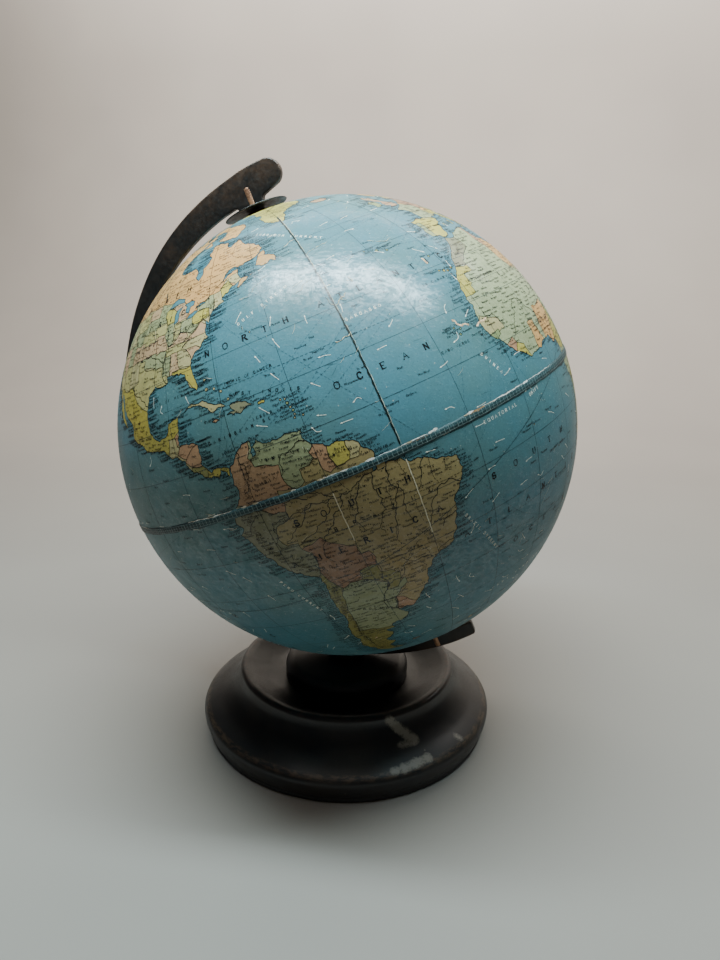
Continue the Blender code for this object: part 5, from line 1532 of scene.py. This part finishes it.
def make_base():
    """The spun pan, from the dish inside its ridge to the rolled hem, and the cap and felt."""
    pan_enamel = enamel("pan_enamel", ((72.6, 81.0, 40.0, "#4A2A1E"), (102.0, 107.2, 16.0, "#6E5A42")))
    dish = smooth_through([(3.5, 35.0), (30, 35.0), (50, 35.0), (58, 36.6), (67, 41.0), (73.0, 44.4)])
    ring = arc((76.6, 41.9), 3.4, 100, 6, 14)
    cove = smooth_through([(80.3, 41.0), (82, 37), (86.5, 31.2), (93, 26), (100, 22), (104.4, 19.3),
                           (106.8, 16.8), (107.4, 14), (106.4, 9), (104.6, 4.6)])
    hem = arc((102.7, 2.1), 1.8, 30, -200, 18)
    outline = dish[:-1] + ring + cove[1:] + hem
    pan = turned("pan_spun_shell", outline[::-1], pan_enamel, "stand", 256)
    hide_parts("base_pan")

    cap_enamel = enamel("cap_enamel", ((40.0, 46.0, 42.0, "#2E221C"),))
    cap = [(4.0, 50.5), (14, 50.5), (22, 50.35), (30, 50.1)]
    cap += arc((38.5, 42.3), 7.5, 82, 4, 16) + [(46, 39), (46, 35.2)]
    cap_piece = turned("cap_dome", cap[::-1], cap_enamel, "stand", 200)
    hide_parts("base_cap")
    repaint("base_felt", grained("felt", (1600, 5, 0.8), None, ("#1E3A26", "#3D5C3A"), depth=0.4,
                                 Roughness=0.95, Sheen_Weight=0.4))


# ---------------------------------------------------------------- arm, dial and axis

# Round the arm from the north: angle from the vertical, outer radius and inner radius in mm
ARM_STATIONS = (
    (25.0, 181.0, 162.8), (45.0, 175.5, 160.6), (60.0, 170.1, 158.4), (75.0, 165.9, 157.0),
    (95.0, 164.8, 156.8), (135.0, 167.0, 158.4), (180.0, 171.6, 161.6), (205.0, 174.2, 164.4),
    (215.0, 174.2, 164.4),
)
ARM_THICKNESS = 6.0 * MM
NECK_END = 156.8
NOSE_START = 164.0


def station_radii(angle):
    """Outer and inner radius of the arm at an angle in degrees, smooth through the stations."""
    last = len(ARM_STATIONS) - 1
    i = 0
    while i < last - 1 and angle > ARM_STATIONS[i + 1][0]:
        i += 1
    a, b = ARM_STATIONS[i], ARM_STATIONS[i + 1]
    before, after = ARM_STATIONS[max(i - 1, 0)], ARM_STATIONS[min(i + 2, last)]
    span = b[0] - a[0]
    u = (angle - a[0]) / span
    radii = []
    for edge in (1, 2):
        rise_a = (b[edge] - before[edge]) / (b[0] - before[0]) * span
        rise_b = (after[edge] - a[edge]) / (after[0] - a[0]) * span
        radii.append((2 * u ** 3 - 3 * u ** 2 + 1) * a[edge] + (u ** 3 - 2 * u ** 2 + u) * rise_a
                     + (3 * u ** 2 - 2 * u ** 3) * b[edge] + (u ** 3 - u ** 2) * rise_b)
    return radii


def long_edge(edge, start, end, count):
    """Points in (x, z) millimetres along the outer edge (0) or the inner edge (1)."""
    points = []
    for i in range(count):
        angle = start + (end - start) * i / (count - 1)
        radius = station_radii(angle)[edge]
        points.append((-radius * math.sin(math.radians(angle)), radius * math.cos(math.radians(angle))))
    return points


def from_axis(points):
    """Points across and along the axis turned into (x, z) from the globe's centre."""
    cos_tilt, sin_tilt = math.cos(AXIS_TILT), math.sin(AXIS_TILT)
    return [(t * cos_tilt - s * sin_tilt, t * sin_tilt + s * cos_tilt) for t, s in points]


def arm_outline():
    """Round the arm: nose, outer edge, tail, south neck, inner edge and north neck."""
    nose = arc((17.0, 173.4), 8.9, -62.0, 84.0, 24) + [(9.0, 182.4), (0.0, 181.9)]
    tail = arc((27.6, -170.1), 1.8, -85.0, 0.0, 7) + arc((27.9, -163.6), 1.5, 0.0, 88.0, 7)
    south_neck = [(19.5, -163.2)] + arc((10.8, -161.8), 2.2, -80.0, -180.0, 8)
    south_neck += [(8.6, -NECK_END), (-8.6, -NECK_END)] + arc((-10.8, -161.8), 2.2, 0.0, -100.0, 8)
    north_neck = arc((-12.6, 159.6), 2.2, 105.0, 0.0, 8)
    north_neck += [(-10.4, NECK_END), (8.6, NECK_END), (8.1, 158.4)]
    north_neck += arc((10.4, 160.2), 2.4, 180.0, 100.0, 8)
    return (from_axis(nose) + long_edge(0, 27.0, 212.0, 130) + from_axis(tail + south_neck)
            + long_edge(1, 196.0, 31.0, 110) + from_axis(north_neck))


def bronze():
    """Dark bronze paint, rubbed brown along the edges and towards the nose and tail."""
    nodes = Nodes("arm_bronze")
    mottle = nodes.noise(60, 5, 0.6)
    pits = nodes.noise(420, 4, 0.7)
    colour = nodes.mix(nodes.span(mottle, 0.35, 0.7), "#121110", "#1A1715")
    patchy = nodes.span(nodes.noise(90, 5, 0.7), 0.30, 0.70)
    rubbed = nodes.product(nodes.attribute("edge_wear"), patchy)
    colour = nodes.mix(rubbed, colour, "#543F31")
    colour = nodes.mix(nodes.span(pits, 0.56, 0.76, 0.0, 0.14), colour, "#4A443B")
    nodes.set(Base_Color=colour, Metallic=nodes.product(rubbed, 0.4),
              Roughness=nodes.span(pits, 0.3, 0.7, 0.34, 0.52))
    nodes.bump(nodes.total(nodes.noise(110, 3), nodes.product(pits, 0.3)), 0.3 * MM, 0.5)
    return nodes.material


def arm_mesh():
    """The arm's outline drawn out to its thickness, its rims rounded, and marked where it is rubbed."""
    half = ARM_THICKNESS / 2
    shape = bmesh.new()
    front = [shape.verts.new((x * MM, -half, z * MM + CENTRE_HEIGHT)) for x, z in arm_outline()]
    face = shape.faces.new(front)
    made = bmesh.ops.extrude_face_region(shape, geom=[face])
    moved = [item for item in made["geom"] if isinstance(item, bmesh.types.BMVert)]
    bmesh.ops.translate(shape, vec=(0, 2 * half, 0), verts=moved)
    bmesh.ops.recalc_face_normals(shape, faces=shape.faces)
    rims = [e for e in shape.edges if len(e.link_faces) == 2
            and max(len(f.verts) for f in e.link_faces) > 4]
    bmesh.ops.bevel(shape, geom=rims, offset=1.1 * MM, segments=4, profile=0.6, affect="EDGES",
                    clamp_overlap=True)
    mesh = bpy.data.meshes.new("arm_casting")
    shape.to_mesh(mesh)
    shape.free()
    mesh.shade_smooth()
    mesh.set_sharp_from_angle(angle=math.radians(40))
    wear = mesh.color_attributes.new("edge_wear", "FLOAT_COLOR", "POINT")
    axis = (AXIS_FRAME.to_3x3() @ Vector((0, 0, 1))).normalized()
    for vertex, entry in zip(mesh.vertices, wear.data):
        along = (vertex.co - Vector((0, 0, CENTRE_HEIGHT))).dot(axis)
        ends = 0.75 * min(1.0, max(0.0, (abs(along) / MM - NOSE_START) / 16))
        rim = 1.0 if half * 0.55 < abs(vertex.co.y) < half * 0.99 else 0.15
        value = min(1.0, rim * 0.5 + ends)
        entry.color = (value, value, value, 1.0)
    return mesh


def make_arm():
    """The cast arm with the worn bosses of its axis and its turned foot."""
    paint = bronze()
    mesh = arm_mesh()
    mesh.materials.append(paint)
    arm = bpy.data.objects.new("arm_casting", mesh)
    bpy.context.scene.collection.objects.link(arm)
    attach(arm, "stand")
    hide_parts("arm")

    copper = grained("worn_copper", (150, 5, 0.65), (0.42, 0.7), ("#B98A68", "#6A4632"), (400, 4), 0.2,
                     Metallic=0.35, Roughness=(0.4, 0.65, 0.38, 0.5))
    north = arc((0, 169.1), 3.5, 90, 0, 10) + [(3.5, NECK_END + 0.3)]
    south = [(2.5, -173.2), (3.3, -173.2), (3.5, -173.0), (3.5, -NECK_END - 0.3)]
    turned("north_boss_rib", north, copper, "stand", 48, AXIS_FRAME)
    turned("south_boss_rib", south, copper, "stand", 48, AXIS_FRAME)
    foot = [(0.0, 60.6), (5.5, 60.6)] + arc((6.0, 59.1), 1.5, 80, 0, 6) + [(7.5, 55.2)]
    foot += arc((9.2, 55.1), 1.7, 180, 270, 6) + [(12.3, 53.4)]
    foot += arc((12.3, 52.7), 0.7, 80, 0, 5) + [(13.0, 50.8)]
    turned("arm_foot", foot, paint, "stand", 96)


DIAL_FACE = 156.35
HOURS = ("XII", "I", "II", "III", "IV", "V", "VI", "VII", "VIII", "IX", "X", "XI")


def round_dial(angle, radius, aside=0.0):
    """The point of the dial's face at an angle and a radius, and aside of it, in millimetres."""
    return (math.cos(angle) * radius + math.sin(angle) * aside,
            math.sin(angle) * radius - math.cos(angle) * aside)


def make_dial():
    """The hour disc, with twice twelve hours and a tick for every quarter."""
    paint = Nodes("dial_paint")
    scuff = paint.noise(260, 5, 0.7)
    colour = paint.mix(paint.span(paint.noise(60, 4), 0.4, 0.7), "#1A1B1A", "#282621")
    paint.set(Base_Color=paint.mix(paint.span(scuff, 0.62, 0.78, 0.0, 0.6), colour, "#7A6B50"),
              Roughness=paint.span(scuff, 0.3, 0.7, 0.3, 0.5))
    paint.bump(paint.noise(300, 3), 0.1 * MM)
    outline = [(2.4, DIAL_FACE), (20.9, DIAL_FACE)] + arc((21.1, 156.0), 0.4, 80, -80, 7)
    outline += [(20.9, 155.65), (2.4, 155.65)]
    disc = turned("hour_disc", outline, paint.material, "dial", 144, AXIS_FRAME, True)
    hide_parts("hour_dial")

    vertices, faces = [], []

    def stroke(path, width):
        for (ax, ay), (bx, by) in zip(path, path[1:]):
            dx, dy = bx - ax, by - ay
            length = math.hypot(dx, dy) or 1.0
            nx, ny = -dy / length * width / 2, dx / length * width / 2
            first = len(vertices)
            for x, y in ((ax - nx, ay - ny), (bx - nx, by - ny), (bx + nx, by + ny), (ax + nx, ay + ny)):
                vertices.append(AXIS_FRAME @ Vector((x * MM, y * MM, (DIAL_FACE + 0.03) * MM)))
            faces.append((first, first + 1, first + 2, first + 3))

    for hour in range(24):
        angle = math.tau * hour / 24
        stroke([round_dial(angle, 19.6), round_dial(angle, 20.8)], 0.22)
        text = HOURS[hour % 12]
        for index, letter in enumerate(text):
            across = (index - (len(text) - 1) / 2) * 0.85
            for points, _ in letter_strokes(letter):
                stroke([round_dial(angle, 15.9 + up * 2.4, across + (side - 0.5) * 0.8)
                        for side, up in points], 0.17)
    for quarter in range(96):
        angle = math.tau * quarter / 96
        stroke([round_dial(angle, 19.9), round_dial(angle, 20.8)], 0.12)
    marks = grained("dial_marks", (200, 4), None, ("#B9A878", "#7C6F50"), Roughness=0.5)
    sheet_object("hour_figures", vertices, faces, marks, "dial")


def repaint_the_rest():
    """Better materials for the small parts that are kept as they were packed."""
    steel = grained("turned_steel", (300, 5, 0.6, (1, 1, 8)), None, ("#8F8C86", "#5E5A52"), depth=0.1,
                    Metallic=0.95, Roughness=(0.3, 0.7, 0.25, 0.45))
    brass = grained("dull_brass", (180, 5, 0.6), (0.35, 0.7), ("#A3803F", "#4A3A20"), depth=0.1,
                    Metallic=0.9, Roughness=(0.3, 0.7, 0.3, 0.55))
    fibre = grained("red_fibre", (500, 5), None, ("#6B2C1F", "#3F1C14"), (900, 3), 0.2, Roughness=0.85)
    board = grained("pulp_board", (700, 5, 0.7), (0.4, 0.65), ("#9A8463", "#6E5B40"), depth=0.4,
                    Roughness=0.95)
    for material, names in (
            (steel, "north_pin south_pivot_screw bolt_spacer clamp_plate lock_washer base_bolt"),
            (brass, "north_ferrule south_ferrule"),
            (fibre, "dial_washer thrust_washer"),
            (board, "base_board axis_tube north_shell south_shell equator_hoop")):
        for name in names.split():
            repaint(name, material)


# ---------------------------------------------------------------- studio


def make_floor():
    """A floor that sweeps up into the wall behind."""
    profile = [(-1.4, 0.0), (0.9, 0.0)] + arc((0.9, 0.9), 0.9, -90, 0, 12) + [(1.8, 2.6)]
    sweep = [(x, y, z) for x in (-3.0, 3.0) for y, z in profile]
    count = len(profile)
    faces = [(k, count + k, count + k + 1, k + 1) for k in range(count - 1)]
    mesh = bpy.data.meshes.new("studio_floor")
    mesh.from_pydata(sweep, [], faces)
    mesh.shade_smooth()
    mesh.materials.append(grained("floor_paint", (3, 2), None, ("#938D84", "#867F78"), Roughness=0.8))
    floor = bpy.data.objects.new("studio_floor", mesh)
    bpy.context.scene.collection.objects.link(floor)


def softbox(name, place, target, size, power, colour):
    """A rectangular light at a place, turned towards its target."""
    light = bpy.data.lights.new(name, "AREA")
    light.shape = "RECTANGLE"
    light.size, light.size_y = size
    light.energy = power
    light.color = colour
    lamp = bpy.data.objects.new(name, light)
    lamp.location = place
    lamp.rotation_euler = (Vector(target) - Vector(place)).to_track_quat("-Z", "Y").to_euler()
    bpy.context.scene.collection.objects.link(lamp)


def make_studio():
    """Floor, a little light from all round, four softboxes and the camera."""
    scene = bpy.context.scene
    make_floor()

    world = bpy.data.worlds.new("studio_air")
    scene.world = world
    world.use_nodes = True
    background = world.node_tree.nodes["Background"]
    background.inputs["Color"].default_value = (0.93, 0.96, 1.0, 1.0)
    background.inputs["Strength"].default_value = 0.03

    centre = (0, 0, CENTRE_HEIGHT)
    softbox("overhead_strip", (0.01, -0.14, 0.85), (0.01, -0.14, 0), (0.74, 0.09), 14.8, (0.70, 0.92, 1.0))
    softbox("ceiling", (-0.05, -0.28, 1.10), (0.0, -0.05, 0.3), (0.6, 0.35), 3.8, (1.0, 0.97, 0.92))
    softbox("front_fill", (0.3, -2.0, 1.0), centre, (1.2, 1.0), 0.3, (1.0, 0.97, 0.93))
    softbox("back_wash", (0.0, 1.05, 1.6), (0, 1.8, 0.7), (2.4, 0.5), 95, (1.0, 0.97, 0.93))

    camera_data = bpy.data.cameras.new("camera")
    camera_data.sensor_fit = "VERTICAL"
    camera_data.sensor_height = 36.0
    camera_data.sensor_width = 27.0
    camera_data.lens = 27.478
    camera = bpy.data.objects.new("camera", camera_data)
    camera.location = (0.08952, -0.48977, 0.33320)
    camera.rotation_euler = [math.radians(a) for a in (73.595, -0.677, 9.591)]
    camera_data.clip_start = 0.01
    scene.collection.objects.link(camera)
    scene.camera = camera


map_outlines, map_points, map_faces, map_owner = make_gores()
sea_or_land = sea_mask(map_outlines)
make_graticule()
make_lines(outlines(map_points, map_faces, map_owner))
make_routes(sea_or_land)
make_arrows(sea_or_land)
make_names()
make_fine_print(map_outlines, sea_or_land)
make_relief()
make_seams()
make_tape()
make_base()
make_arm()
make_dial()
repaint_the_rest()
make_studio()
bpy.context.view_layer.update()
